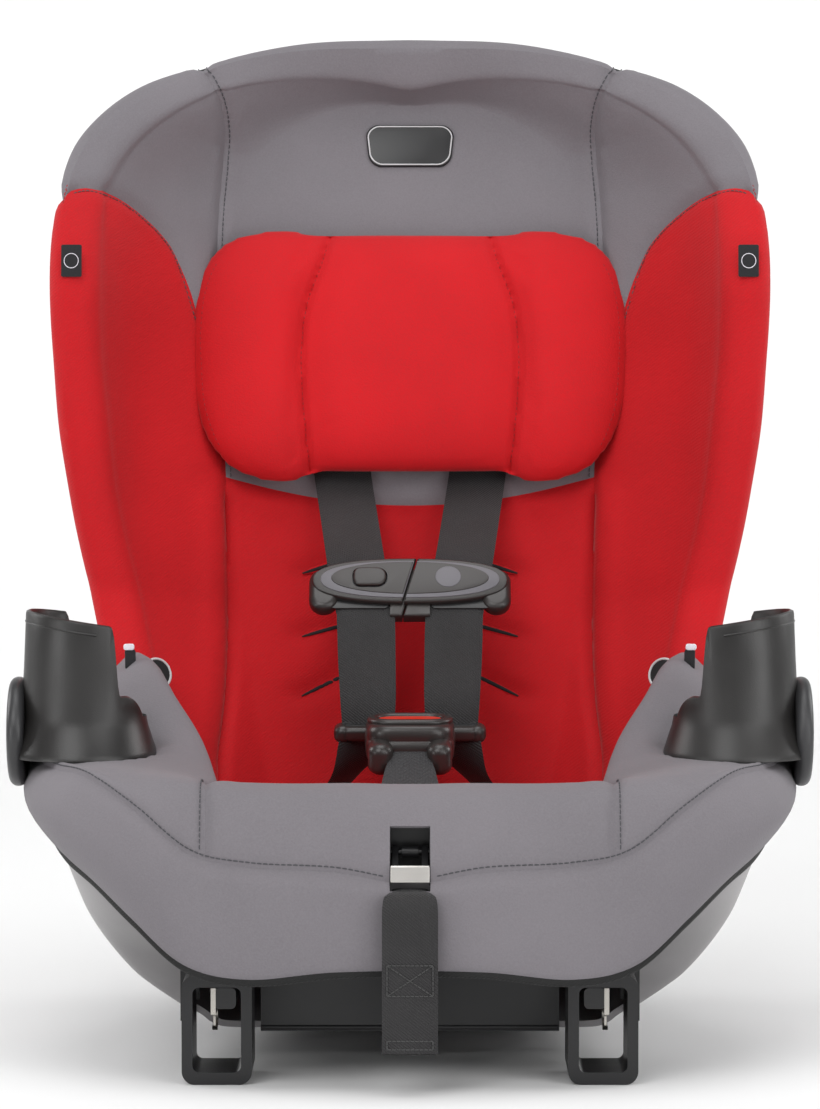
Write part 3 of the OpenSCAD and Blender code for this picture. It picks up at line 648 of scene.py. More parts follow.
class Bucket(Grid):
    """Grid of points over the right half of the padded bucket."""

    rows, lip, slope, flat = 150, 12, 30, 16

    def __init__(self):
        rim = resample(outline(), self.rows)
        run = np.linspace(0, 1, self.rows)
        spine = curve([(0, 150), (0.3, 300), (0.55, 478), (0.8, 562), (1, 588)])(run)
        inset, depth = [], []
        for (x, z), zs in zip(rim, spine):
            length = math.hypot(x, z - zs)
            flat = min(112, 0.62 * (length - 2 * LIP_R))
            edge = float(edge_y(z))
            front = [(2.0, edge + 26), (0.6, edge + 12)]
            for a in np.radians(np.linspace(0, 180, self.lip)):
                front.append((LIP_R * (1 - math.cos(a)), edge - 12 * math.sin(a)))
            for e in np.linspace(1, 0, self.slope)[1:]:
                front.append((2 * LIP_R + (length - 2 * LIP_R - flat) * (1 - e), e))
            for e in np.linspace(1, 0, self.flat)[1:]:
                front.append((length - flat * e, 0.0))
            inset.append([f[0] for f in front])
            depth.append([f[1] for f in front])
        self.inset = np.array(inset)
        depth = np.array(depth)
        self.cols = self.inset.shape[1]
        lengths = np.hypot(rim[:, 0], rim[:, 1] - spine)[:, None]
        share = self.inset / lengths
        x = rim[:, :1] * (1 - share)
        z = lerp(rim[:, 1:], spine[:, None], share)
        y = depth.copy()
        start = self.lip + 2
        e = depth[:, start:]
        edge = edge_y(rim[:, 1])[:, None]
        n = np.clip(1.7 + 0.5 * (rim[:, 1:] - 300) / 150, 1.7, 2.2)
        bowl = (1 - e**n) ** (1 / n)
        swell = 1 - np.sin(e * math.pi / 2) ** 1.15
        away = (back_y(z[:, start:]) - edge)
        soft = 0.42 + 0.48 * smooth((rim[:, 1:] - 560) / 80)
        y[:, start:] = edge + away * lerp(bowl, swell, soft)
        turns = 10 + (70 * smooth((rim[:, 1] - 480) / 110)).astype(int)
        for turn in range(turns.max()):
            eased_y = y.copy()
            eased_y[:, 6:-1] = (y[:, 5:-2] + 2 * y[:, 6:-1] + y[:, 7:]) / 4
            y = np.where((turns > turn)[:, None], eased_y, y)
        self.points = np.stack([x, y, z], -1)
        self.normals = grid_normals(self.points, (60, -5), -1)


def seam_line(points, on, order):
    """Points on a seam, put in order along an axis and spaced one millimetre apart."""
    line = points[on]
    line = line[np.argsort(line[:, order])]
    return resample(line, max(int(run_length(line)[-1]), 4))


def to_line(points, line):
    """Distance of each point to a densely sampled line in space."""
    tree = tree_of(line)
    return np.array([tree.find(p)[2] for p in points])


def ripple(points, scale, seed=0.0):
    """Smooth noise from -1 to 1 at each point."""
    return np.array([noise.noise(Vector(p) / scale + Vector((seed, seed, seed)))
                     for p in points]) * 1.6


def sewn(points, normals, lines, groove=3.2, width=4.0, puff=2.2, pull=0.7):
    """Moves a skin in at its seams and out between them, with small pulls along the seams."""
    nearest = np.full(len(points), 1e9)
    for line in lines:
        nearest = np.minimum(nearest, to_line(points, line))
    height = puff * (1 - np.exp(-((nearest / 28) ** 2)))
    height -= groove * np.exp(-((nearest / width) ** 2))
    pulls = pull * np.exp(-nearest / 13) * (1 - np.exp(-((nearest / 4) ** 2)))
    height += pulls * ripple(points, 7.0, 3.1)
    height += 0.9 * (1 - np.exp(-nearest / 25)) * ripple(points, 60.0, 1.7)
    return points + normals * height[:, None]


STITCH_GAP, STITCH_LENGTH, STITCH_LIFT, STITCH_SINK = 3.6, 2.5, 0.25, -0.35


def stitches(name, line, normals, offset, look, slot, body=ROOT, radius=0.36):
    """A row of thread stitches beside a seam. offset is to its side, along the surface."""
    line = np.asarray(line, float)
    steps = run_length(line)
    parts = []
    section = ring_section(radius, 6, 0.8)
    for s in np.arange(STITCH_GAP, steps[-1] - STITCH_GAP, STITCH_GAP):
        ends = []
        for t in (s - STITCH_LENGTH / 2, s, s + STITCH_LENGTH / 2):
            p = np.array([np.interp(t, steps, line[:, k]) for k in range(3)])
            n = np.array([np.interp(t, steps, normals[:, k]) for k in range(3)])
            ends.append((p, n / np.linalg.norm(n)))
        along = unit(ends[2][0] - ends[0][0])
        route = []
        for (p, n), up in zip(ends, (STITCH_SINK, STITCH_LIFT, STITCH_SINK)):
            side = np.cross(along, n)
            route.append(p + side * offset + n * up)
        parts.append(sweep(route, section, ups=[e[1] for e in ends]))
    verts, faces = joined(parts)
    mesh(name, verts, faces, M[look], 80, body, slot)


# ---------------------------------------------------------------- upper cover
bucket = Bucket()
sheet = Sheet(bucket.rows, bucket.cols)


def front_view(params):
    p = bucket.at(params, bucket.points)
    return p[:, 0], p[:, 2]


def beyond_centre(params):
    x, z = front_view(params)
    return x - seam_centre_x(z)


def above_wing(params):
    x, z = front_view(params)
    return z - seam_wing_z(x)


def above_low(params):
    x, z = front_view(params)
    return z - seam_low_z(x)


for side in (beyond_centre, above_wing, above_low):
    sheet.cut(side)
params = np.array(sheet.p)
base_points = bucket.at(params, bucket.points)
base_normals = bucket.at(params, bucket.normals)
base_normals = unit(base_normals)
inset = bucket.at(params, bucket.inset)

near = 0.02
on_centre = np.abs(beyond_centre(params)) < near
on_wing = (np.abs(above_wing(params)) < near) & (beyond_centre(params) > -near)
on_low = (np.abs(above_low(params)) < near) & (beyond_centre(params) < near)
line_centre = seam_line(base_points, on_centre, 2)
line_wing = seam_line(base_points, on_wing, 0)
line_low = seam_line(base_points, on_low, 0)
shaped = sewn(base_points, base_normals, [line_centre, line_wing, line_low])

# Seam along the side panel's rolled edge, from the hip up to the wing
def edge_seam_inset(z):
    return lerp(10.5, 4.0, smooth((np.asarray(z, float) - 330) / 160))


edge_seam = np.abs(inset - edge_seam_inset(base_points[:, 2]))
side_part = smooth((545 - base_points[:, 2]) / 20)
shaped -= base_normals * (1.5 * side_part * np.exp(-((edge_seam / 1.5) ** 2)))[:, None]
# The lower back is drawn in along each slanting harness slit: height at the inner and outer end
SLITS = [(299.5, 288), (257, 246.5), (226, 207.5)]
SLIT_IN, SLIT_OUT = 34, 73
for high, low in SLITS:
    across_slit = (base_points[:, 0] - SLIT_IN) / (SLIT_OUT - SLIT_IN)
    off_line = (base_points[:, 2] - lerp(high, low, np.clip(across_slit, 0, 1))) / 6.5
    beyond = np.clip(np.abs(across_slit - 0.5) - 0.5, 0, None) * 5
    shaped -= base_normals * (3.4 * np.exp(-(off_line**2) - beyond**2))[:, None]

# The side panels stand proud of the lower back along the seam between them
beside = beyond_centre(params)
low_part = smooth((350 - base_points[:, 2]) / 14)
crease = 3.2 * np.exp(-((beside / 3.0) ** 2)) - 2.6 * np.exp(-(((beside - 13) / 9) ** 2))
shaped -= base_normals * (low_part * crease)[:, None]


def cover_panel(name, sheet, points, normals, depth, keep, look, node, fill, halves=False):
    """A panel of padded cover. halves makes its right and left side separate pieces."""
    verts, faces, used = sheet.part(points, keep)
    verts, faces = thicken(verts, faces, depth, normals[used])
    if halves:
        pieces = [("_right", verts, faces), ("_left", *mirrored(verts, faces))]
    else:
        pieces = [("", *whole(verts, faces))]
    for side, v, f in pieces:
        piece = mesh(name + side, v, f, M[look], 50, ROOT, look.split("_")[0] + "_fabric",
                     [node + side])


# keep() gets (beyond the centre seam, above the wing seam, above the low seam) for each face
UPPER_PADDING, LOWER_PADDING = 5.0, 4.0
for panel in (
        ("centre_back_panel", lambda k: not k[0] and k[2], "grey", "upper_back_pad", 0.6),
        ("lower_back_panel", lambda k: not k[0] and not k[2], "red_rib", "lower_back_pad", 0.6),
        ("wing_panel", lambda k: k[0] and k[1], "grey", "wing_pad", 0.7, True),
        ("side_panel", lambda k: k[0] and not k[1], "red_rib", "side_pad", 0.7, True)):
    cover_panel(panel[0], sheet, shaped, base_normals, UPPER_PADDING, *panel[1:])

# ---------------------------------------------------------------- lower cover
# Stations from the middle of the front round to the back of the armrest: outer point of the
# plan, inner point, then the heights of skirt, seam, top and inner ridge. seam_in and top_in
# say how far in from the outer point the seam and the top lie, and tuck the lower edge.
STATIONS = [
    # xo, yo, xi, yi, skirt, seam, seam_in, top, top_in, ridge, tuck
    (-45, -262, -42, -190, 74, 131.5, 0.0, 178, 0.55, 170, 0.0),
    (0, -262, 0, -190, 75, 124.5, 0.0, 177, 0.55, 169, 0.0),
    (45, -262, 42, -190, 74, 131.5, 0.0, 178, 0.55, 170, 0.0),
    (95, -260, 88, -190, 69, 134, 0.0, 178.5, 0.55, 171, 0.0),
    (132, -254, 112, -190, 76, 141, 0.02, 182, 0.5, 175, 0.02),
    (168, -238, 120, -180, 100, 166, 0.05, 183, 0.46, 178, 0.10),
    (203, -206, 118, -154, 120, 183, 0.08, 185, 0.36, 179, 0.16),
    (226, -165, 122, -120, 131, 185, 0.07, 186, 0.4, 184, 0.16),
    (237, -112, 130, -84, 141, 186, 0.05, 188, 0.45, 198, 0.14),
    (237, -60, 146, -52, 150, 192, 0.05, 203, 0.5, 219, 0.12),
    (229, -15, 160, -16, 164, 208, 0.05, 220, 0.5, 235, 0.10),
    (214, 26, 173, 16, 184, 222, 0.05, 230, 0.5, 240, 0.08),
    (204, 52, 182, 40, 200, 226, 0.05, 230, 0.5, 237, 0.05),
]
CUP_X, CUP_Y, CUP_R, CUP_FLOOR, CUP_TOP = 203, -115, 35.5, 192, 277


def section(station):
    """Nine points round the lower cover's section, from under the skirt to inside."""
    xo, yo, xi, yi, skirt, seam, seam_in, top, top_in, ridge, tuck = station
    outer, inner = np.array([xo, yo], float), np.array([xi, yi], float)

    def at(share, z):
        p = lerp(outer, inner, share)
        return (p[0], p[1], z)

    return [at(tuck + 0.10, skirt + 5), at(tuck, skirt), at(-0.02, lerp(skirt, seam, 0.5)),
            at(seam_in, seam), at(lerp(seam_in, top_in, 0.38), lerp(seam, top, 0.80)),
            at(top_in, top), at(0.90, ridge), at(1.0, ridge - 16), at(1.0, ridge - 52)]


def catmull(values, t):
    """Smooth curve through evenly spaced values, at any positions between them."""
    i = np.clip(np.floor(t).astype(int), 0, len(values) - 2)
    f = (t - i)[:, None, None]
    v = [values[np.clip(i + k, 0, len(values) - 1)] for k in (-1, 0, 1, 2)]
    return 0.5 * (2 * v[1] + (v[2] - v[0]) * f + (2 * v[0] - 5 * v[1] + 4 * v[2] - v[3]) * f**2
                  + (3 * v[1] - v[0] - 3 * v[2] + v[3]) * f**3)


control = np.array([section(s) for s in STATIONS])
around = np.linspace(1, len(STATIONS) - 1, 130)
across = np.linspace(0, 8, 58)
rows = catmull(control, around)
lower_points = np.transpose(catmull(np.transpose(rows, (1, 0, 2)), across), (1, 0, 2))
lower_normals = grid_normals(lower_points, (20, 15), -1)
N_AROUND, N_ACROSS = lower_points.shape[:2]
lower_grid = Grid(N_AROUND, N_ACROSS)
seam_col = 3 / 8 * (N_ACROSS - 1)
roll_end = 122

lower = Sheet(N_AROUND, N_ACROSS)
lower.cut(lambda p: p[:, 1] - seam_col)
lower.cut(lambda p: lower_grid.at(p, lower_points)[:, 0] - roll_end)
NOTCH_X, NOTCH_LOW, NOTCH_HIGH = 12.0, 120, 157
lower.cut(lambda p: lower_grid.at(p, lower_points)[:, 0] - NOTCH_X)
lower.cut(lambda p: lower_grid.at(p, lower_points)[:, 2] - NOTCH_LOW)
lower.cut(lambda p: lower_grid.at(p, lower_points)[:, 2] - NOTCH_HIGH)
params = np.array(lower.p)
base_points = lower_grid.at(params, lower_points)
base_normals = lower_grid.at(params, lower_normals)
base_normals = unit(base_normals)
on_seam = np.abs(params[:, 1] - seam_col) < 0.02
on_roll_end = ((np.abs(base_points[:, 0] - roll_end) < 0.05) & (params[:, 1] > seam_col)
               & (base_points[:, 1] < -180))
front_line = base_points[on_seam][np.argsort(params[on_seam, 0])]
front_line = resample(front_line, 420)
roll_line = base_points[on_roll_end][np.argsort(params[on_roll_end, 1])]
roll_line = resample(roll_line, 90)
lower_shaped = sewn(base_points, base_normals, [front_line, roll_line], 3.0, 4.2, 2.4, 0.6)
# The cup holder's collar presses the armrest flat
from_cup = np.hypot(lower_shaped[:, 0] - CUP_X, lower_shaped[:, 1] - CUP_Y)
seat_top = CUP_FLOOR - 6.5 + 1.6 * np.clip(from_cup - 45, 0, None)
inside = from_cup < 70
lower_shaped[inside, 2] = np.minimum(lower_shaped[inside, 2], seat_top[inside])


def is_notch(k):
    return not k[2] and k[3] and not k[4]


# keep() gets (above the front seam, beyond the roll's end, then the notch's three sides)
for panel in (
        ("front_roll", lambda k: k[0] and not k[1] and not is_notch(k), "grey",
         "front_cushion", 0.8),
        ("skirt", lambda k: not k[0] and not is_notch(k), "grey", "front_skirt", 0.3),
        ("armrest", lambda k: k[0] and k[1], "grey", "armrest_pad", 0.7, True)):
    cover_panel(panel[0], lower, lower_shaped, base_normals, LOWER_PADDING, *panel[1:])

# Ribbed elastic binding round the skirt's lower edge
bottom_col = 1 / 8 * (N_ACROSS - 1)
edge_rows = np.array([(r, bottom_col) for r in np.linspace(0, N_AROUND - 1, 240)])
bottom_edge = lower_grid.at(edge_rows, lower_points)
bottom_out = lower_grid.at(edge_rows + [0, 3.0], lower_normals)
bottom_out[:, 2] = 0
bottom_out /= np.linalg.norm(bottom_out, axis=1)[:, None]
whole_edge = np.concatenate([bottom_edge[::-1] * [-1, 1, 1], bottom_edge[1:]])
whole_out = np.concatenate([bottom_out[::-1] * [-1, 1, 1], bottom_out[1:]])
binding_section = np.array(rounded_outline(8.6, 5.4, 2.5, 4))
verts, faces = sweep(whole_edge + whole_out * -0.8 + [0, 0, -2.0], binding_section,
                     ups=whole_out)
mesh("skirt_edge_binding", verts, faces, M["binding"], 60, ROOT, "binding", ["skirt_binding"])

# ---------------------------------------------------------------- seat pad
def crowned(x0, x1, y0, y1, top, bottom, crown, n=26, power=3.0):
    """Closed cushion: a soft-edged rectangle in plan with a raised middle."""
    u = np.sin(np.linspace(-math.pi / 2, math.pi / 2, n))
    grid = []
    for sign in (1, -1):
        for a in u:
            for b in u:
                rim = max(0.0, 1 - abs(a) ** power) ** (1 / power)
                rim *= max(0.0, 1 - abs(b) ** power) ** (1 / power)
                pinch = 1 - 0.03 * (1 - abs(a)) * abs(b) ** 2
                x = lerp(x0, x1, (a + 1) / 2)
                y = lerp(y0, y1, (b * pinch + 1) / 2)
                middle = lerp(top(y), bottom(y), 0.5)
                half = (top(y) - bottom(y)) / 2
                z = middle + sign * (half + (crown if sign > 0 else 0)) * rim**0.5
                grid.append((x, y, z))
    return np.array(grid), closed_pair(n, n)


seat_top_z = curve([(-190, 149), (-120, 147), (-20, 143), (90, 144)])
seat_low_z = curve([(-190, 132), (-60, 126), (90, 122)])
verts, faces = crowned(-127, 127, -187, 86, seat_top_z, seat_low_z, 3.0, 40, 6.0)
hole = np.exp(-(((verts[:, 0]) / 22) ** 4 + ((verts[:, 1] + 106) / 8) ** 2))
verts[:, 2] -= 5 * hole * (verts[:, 2] > 134)
piece = mesh("seat_cushion", verts, faces, M["red_rib"], 60, ROOT, "red_fabric", ["seat_pad"])

# ---------------------------------------------------------------- head pillow
PILLOW_LOW, PILLOW_HIGH = 348, 519
pillow_half_w = curve([(348, 88), (351, 104), (357, 118), (369, 131), (392, 142.5), (428, 147.5),
                       (455, 148), (480, 144.5), (497, 137), (509, 126), (515, 114), (519, 98)])
pillow_seam_x = curve([(348, 66), (365, 68), (400, 71.5), (440, 73), (470, 69), (495, 60),
                       (519, 53)])


def pillow_mesh(n_x=150, n_z=80):
    """Closed pillow with a nearly flat back. Its lower edge rises a little in the middle."""
    us = np.sin(np.linspace(-math.pi / 2, math.pi / 2, n_x))
    ws = np.sin(np.linspace(-math.pi / 2, math.pi / 2, n_z))
    grid = []
    for sign in (-1, 1):
        for w in ws:
            z0 = lerp(PILLOW_LOW, PILLOW_HIGH, (w + 1) / 2)
            for u in us:
                x = u * float(pillow_half_w(z0))
                middle = 1 - smooth((abs(x) - 58) / 26)
                z = z0 + middle * (7.5 * (1 - w) / 2 - 3.0 * (1 + w) / 2)
                full = max(0.0, 1 - abs(u) ** 3.0) ** 0.46 * max(0.0, 1 - abs(w) ** 3.0) ** 0.46
                seam = abs(abs(x) - float(pillow_seam_x(z)))
                panel = 0.84 + 0.16 * smooth(seam / 30)
                lobe = 3.5 * smooth((abs(x) - 72) / 22)
                front = (29 + lobe) * full * panel
                depth = -front if sign < 0 else 7 * full
                grid.append((x, float(back_y(z)) - 17 + depth, z))
    return np.array(grid), closed_pair(n_z, n_x)


verts, faces = pillow_mesh()
verts[:, 1] -= 0.8 * ripple(verts, 45.0, 5.2) * (verts[:, 1] < back_y(verts[:, 2]) - 22)
pillow = mesh("head_pillow_cover", verts, faces, M["red"], 70, None)


def inflate(obj, pinned, pressure=4.0, cap=6.0, frames=20):
    """Swells a closed piece with cloth simulation. Points where pinned() is 1 stay put."""
    remesh = obj.modifiers.new("remesh", "REMESH")
    remesh.mode = "VOXEL"
    remesh.voxel_size = 4.5 * MM
    apply_modifiers(obj)
    before = np.array([v.co for v in obj.data.vertices])
    group = obj.vertex_groups.new(name="pin")
    for i, weight in enumerate(pinned(before / MM)):
        if weight > 0:
            group.add([i], float(weight), "REPLACE")
    cloth = obj.modifiers.new("cloth", "CLOTH")
    cloth.settings.use_pressure = True
    cloth.settings.uniform_pressure_force = pressure
    cloth.settings.effector_weights.gravity = 0
    cloth.settings.vertex_group_mass = "pin"
    cloth.settings.tension_stiffness = 20
    cloth.settings.bending_stiffness = 0.6
    cloth.point_cache.frame_start = 1
    cloth.point_cache.frame_end = frames
    for frame_number in range(1, frames + 1):
        bpy.context.scene.frame_set(frame_number)
    apply_modifiers(obj)
    bpy.context.scene.frame_set(1)
    after = np.array([v.co for v in obj.data.vertices])
    move = after - before
    size = np.linalg.norm(move, axis=1)
    move *= np.minimum(1, cap * MM / np.maximum(size, 1e-9))[:, None]
    obj.data.vertices.foreach_set("co", (before + move).astype(np.float32).ravel())
    obj.vertex_groups.clear()
    sub = obj.modifiers.new("smooth", "SUBSURF")
    sub.levels = sub.render_levels = 1
    apply_modifiers(obj)


def pillow_pins(points):
    seam = np.abs(np.abs(points[:, 0]) - pillow_seam_x(points[:, 2]))
    front = points[:, 1] < back_y(points[:, 2]) - 17
    back = points[:, 1] > back_y(points[:, 2]) - 13
    return np.where(back, 1.0, np.where(front & (seam < 3.2), 1.0, 0.0))


def sew_pillow(obj):
    """Draws the two upright seams into the pillow's front."""
    co = np.array([v.co for v in obj.data.vertices]) / MM
    seam = np.abs(np.abs(co[:, 0]) - pillow_seam_x(co[:, 2]))
    front = smooth((back_y(co[:, 2]) - 19 - co[:, 1]) / 6)
    inner = np.abs(co[:, 0]) < pillow_seam_x(co[:, 2])
    reach = np.where(inner, 13.0, 8.0)
    co[:, 1] += front * (4.6 * np.exp(-((seam / 2.3) ** 2)) + 3.0 * np.exp(-((seam / reach) ** 2)))
    obj.data.vertices.foreach_set("co", (co * MM).astype(np.float32).ravel())


inflate(pillow, pillow_pins)
sew_pillow(pillow)
finish(pillow, M["red"], 70)
place(pillow, "head_pillow", ["head_pillow"])


def pillow_line(name, xz):
    """Stitches lying on the pillow's front along (x, z) points, found by looking at it."""
    tree = BVHTree.FromObject(pillow, bpy.context.evaluated_depsgraph_get())
    points, ways = [], []
    for x, z in xz:
        hit = tree.ray_cast(Vector((x * MM, -0.3, z * MM)), Vector((0, 1, 0)))
        if hit[0] is not None:
            points.append(np.array(hit[0]) / MM)
            ways.append(np.array(hit[1]))
    stitches(name, np.array(points), np.array(ways), 0.0, "thread_red", "pillow_fabric",
             "head_pillow", 0.34)


for side, flip in SIDES:
    heights = np.linspace(372, 498, 150)
    pillow_line(f"pillow_stitch_{side}",
                [(flip * (float(pillow_half_w(z)) - 7.5), z) for z in heights])
    pillow_line(f"pillow_seam_stitch_{side}",
                [(flip * (float(pillow_seam_x(z)) - 0.2), z) for z in np.linspace(360, 508, 160)])

# ---------------------------------------------------------------- cover details
def on_bucket(x, z):
    """Point and outward normal of the upper cover's front where it is seen at (x, z)."""
    flat = bucket.points[:, bucket.lip:, :].reshape(-1, 3)
    ways = bucket.normals[:, bucket.lip:, :].reshape(-1, 3)
    gap = np.hypot(flat[:, 0] - abs(x), flat[:, 2] - z)
    best = np.argsort(gap)[:6]
    weight = 1 / (gap[best] + 0.3)
    p = (flat[best] * weight[:, None]).sum(0) / weight.sum()
    n = unit((ways[best] * weight[:, None]).sum(0))
    p[0], p[2] = abs(x), z
    if x < 0:
        p[0], n[0] = -p[0], -n[0]
    return p, n


def line_normals(line, points, normals):
    """Normals along a line, each from the nearest point of a grid."""
    tree, ways = tree_of(points.reshape(-1, 3)), normals.reshape(-1, 3)
    return np.array([ways[tree.find(p)[1]] for p in line])


def stitch_both_sides(name, line, grid, offset, color, sink):
    """The same row of stitches on the right and, mirrored, on the left."""
    ways = line_normals(line, *grid)
    sunk = line - ways * sink
    for side, flip in SIDES:
        m = np.array([flip, 1, 1])
        stitches(f"{name}_{side}", sunk * m, ways * m, offset * flip, f"thread_{color}",
                 f"{color}_fabric")


UPPER, LOWER = (bucket.points, bucket.normals), (lower_points, lower_normals)
wing_part = line_wing[line_wing[:, 0] < 226]
centre_part = line_centre[(line_centre[:, 2] > 350) & (line_centre[:, 2] < 634)]
stitch_both_sides("stitch_wing", wing_part, UPPER, 2.8, "grey", 1.4)
stitch_both_sides("stitch_centre", centre_part, UPPER, -2.8, "grey", 1.4)
side_path = []
for r in np.linspace(32, 96, 260):
    row = int(round(r))
    col = np.interp(edge_seam_inset(bucket.points[row, 0, 2]), bucket.inset[row],
                    np.arange(bucket.cols))
    side_path.append((r, col))
side_line = bucket.at(np.array(side_path), bucket.points)
stitch_both_sides("stitch_side", side_line, UPPER, 0.0, "red", 1.2)
stitch_both_sides("stitch_skirt", front_line[front_line[:, 0] > 14], LOWER, -2.8, "grey", 1.4)
stitch_both_sides("stitch_roll", roll_line[1:-12], LOWER, 2.8, "grey", 0.5)


def plate(name, centre, normal, outline_points, low, high, bevel, look, replaces=()):
    """A flat bevelled piece lying on a surface. Its outline's Y goes up the surface."""
    verts, faces = extrude(outline_points, low, high, bevel)
    verts = transform(verts, facing(centre, normal))
    mesh(name, verts, faces, M[look], 35, ROOT, "badge", replaces)


def facing(centre, normal):
    """Matrix that lays the XY plane on a surface: Z along its normal, Y up it."""
    z = Vector(normal).normalized()
    x = Vector((0, 0, 1)).cross(z).normalized()
    y = z.cross(x)
    m = Matrix((x, y, z)).transposed().to_4x4()
    m.translation = Vector(centre)
    return m


def rim(name, centre, normal, width, radius, thick, height, look):
    """Thin raised ring with a round section, lying on a surface."""
    path = rounded_outline(width, width, radius, 8)
    verts = []
    m = len(path)
    section = ring_section(1.0, 10)
    for i, (x, y) in enumerate(path):
        before, after = path[i - 1], path[(i + 1) % m]
        tx, ty = after[0] - before[0], after[1] - before[1]
        size = math.hypot(tx, ty)
        nx, ny = ty / size, -tx / size
        for a, b in section:
            verts.append((x + nx * a * thick / 2, y + ny * a * thick / 2, height + b * thick / 2))
    faces = grid_faces(m, 10, closed=True)
    faces += [[(m - 1) * 10 + c, (m - 1) * 10 + (c + 1) % 10, (c + 1) % 10, c] for c in range(10)]
    mesh(name, transform(verts, facing(centre, normal)), faces, M[look], 60, ROOT, "badge")


# Plain badge with a pale rim on the middle of the back
badge_at, badge_way = on_bucket(0, 576)
badge_way = np.array([0.0, badge_way[1], badge_way[2]])
badge_shape = [(x * (1 - 0.10 * max(0, -y) / 16), y - 1.2 * (x / 31) ** 2 * (1 if y > 0 else -0.4))
               for x, y in rounded_outline(60, 31, 8, 8)]
plate("back_badge_face", badge_at, badge_way, badge_shape, -1.5, 5.0, 1.0, "badge",
      ["back_badge"])
ring_path = np.array([(x, y, 4.8) for x, y in badge_shape])
ring_path = transform(ring_path * [0.955, 0.915, 1], facing(badge_at, badge_way))
closed = np.concatenate([ring_path, ring_path[:2]])
verts, faces = sweep(closed, ring_section(0.55, 8), False,
                     ups=[badge_way] * len(closed))
mesh("back_badge_rim", verts, faces, M["ring"], 60, ROOT, "badge")

# Woven side tags with a plain stitched ring, and round hip badges
for side, flip in SIDES:
    n = np.array([flip * 0.12, -1.0, 0.04])
    p = np.array([flip * 220.5, float(edge_y(496)) - 15.6, 496])
    plate(f"side_tag_{side}", p, n, rounded_outline(13.5, 21, 1.2), -0.6, 0.7, 0.3, "tag",
          ["side_tags"] if flip > 0 else ())
    rim(f"side_tag_ring_{side}", p, n, 9.4, 4.69, 0.5, 0.75, "white")
    p = np.array([flip * 164.0, 13.0, 228.5])
    n = (-flip * 0.55, -0.78, 0.30)
    plate(f"hip_badge_{side}", p, n, rounded_outline(21, 21, 10.4, 10), -1.0, 1.0, 0.5, "badge",
          ["pocket_badges"] if flip > 0 else ())
    rim(f"hip_badge_ring_{side}", p, n, 19.5, 9.7, 1.7, 0.9, "ring")

# Harness slits, lower on their outer ends: each opening is a thin dark strip lying on the cover,
# painted shade in place of a real hole, with a sewn lip round it
for k, (high, low) in enumerate(SLITS):
    for side, flip in SIDES:
        line = []
        for x in np.linspace(SLIT_IN + 1, SLIT_OUT - 1, 28):
            p, n = on_bucket(x, lerp(high, low, (x - SLIT_IN) / (SLIT_OUT - SLIT_IN)))
            line.append((p - n * 0.6, n))
        route = np.array([a for a, _ in line]) * [flip, 1, 1]
        ways = np.array([b for _, b in line]) * [flip, 1, 1]
        size = np.sin(np.linspace(0.12, math.pi - 0.12, len(route))) ** 0.5
        # The opening strip is painted shade; no hole is cut in the cover.
        for part, width, rise, look, slot_name in (
                ("opening", 1.4, 0.9, "tag", "badge"), ("lip", 2.6, 0.75, "red_rib", "red_fabric")):
            verts, faces = sweep(route, ring_section(1.0, 12), ups=ways)
            verts = verts.reshape(len(route), 12, 3)
            for i in range(len(route)):
                off = verts[i] - route[i]
                along_n = (off @ ways[i])[:, None] * ways[i]
                verts[i] = route[i] + (off - along_n) * width * size[i] + along_n * rise * size[i]
                verts[i] += ways[i] * (0.55 if part == "opening" else 0.1)
            mesh(f"slit_{part}_{k}_{side}", verts.reshape(-1, 3), faces, M[look], 70, ROOT,
                 slot_name)

# ---------------------------------------------------------------- cup holders
def cup_wall(angle):
    """Height of the cup holder's wall. angle 0 is outwards, 90 to the back, 180 to the seat."""
    degrees = math.degrees(angle) % 360
    tilt = CUP_TOP - 5 + 6 * math.cos(angle)
    cut = smooth((degrees - 62) / 26) * smooth((246 - degrees) / 15)
    low = lerp(203, 226, smooth((degrees - 165) / 60))
    return float(lerp(tilt, low, cut))


def cup_lean(z):
    """How far the holder leans towards the seat at a height."""
    return 4.5 * np.clip((np.asarray(z, float) - 200) / 75, 0, 1)


def cup_holder(flip):
    n = 144
    verts = []
    for k in range(n):
        a = 2 * math.pi * k / n
        top = cup_wall(a)
        r0, r1, t = CUP_R - 1.2, CUP_R + 1.3, 2.0
        high = (top - CUP_FLOOR) / (CUP_TOP - CUP_FLOOR)
        flare = 1.8 * high
        profile = [
            (0.0, CUP_FLOOR), (r0 * 0.5, CUP_FLOOR), (r0 - 4, CUP_FLOOR), (r0 - 1, CUP_FLOOR + 1),
            (r0, CUP_FLOOR + 4), (r0 + flare * 0.5, lerp(CUP_FLOOR, top, 0.5)),
            (r0 + flare, top - 2.2), (r0 + flare + 0.5, top - 0.7), (r0 + flare + t / 2 + 0.3, top),
            (r1 + flare + 0.5, top - 0.7), (r1 + flare + 0.9, top - 2.2),
            (r1 + flare * 0.7 + 1, lerp(209, top, 0.6)), (r1 + 1.8, 212), (r1 + 3.4, 206),
            (r1 + 6.4, 198), (r1 + 8.6, 191), (45.8, 188.2), (45.4, 186.8), (43.5, 186.4),
            (36, 186.6), (18, 186.6), (0.0, 186.6),
        ]
        for r, z in profile:
            # The collar is drawn out towards the front
            push = 3.0 * smooth((196 - z) / 12) * max(0.0, -math.sin(a)) if r > 36 else 0
            verts.append((CUP_X - cup_lean(z) + r * math.cos(a),
                          CUP_Y + (r + push) * math.sin(a), z))
    m = 22
    faces = grid_faces(n, m)
    faces += [[(n - 1) * m + c, (n - 1) * m + c + 1, c + 1, c] for c in range(m - 1)]
    verts = np.array(verts) * [flip, 1, 1]
    return verts, faces


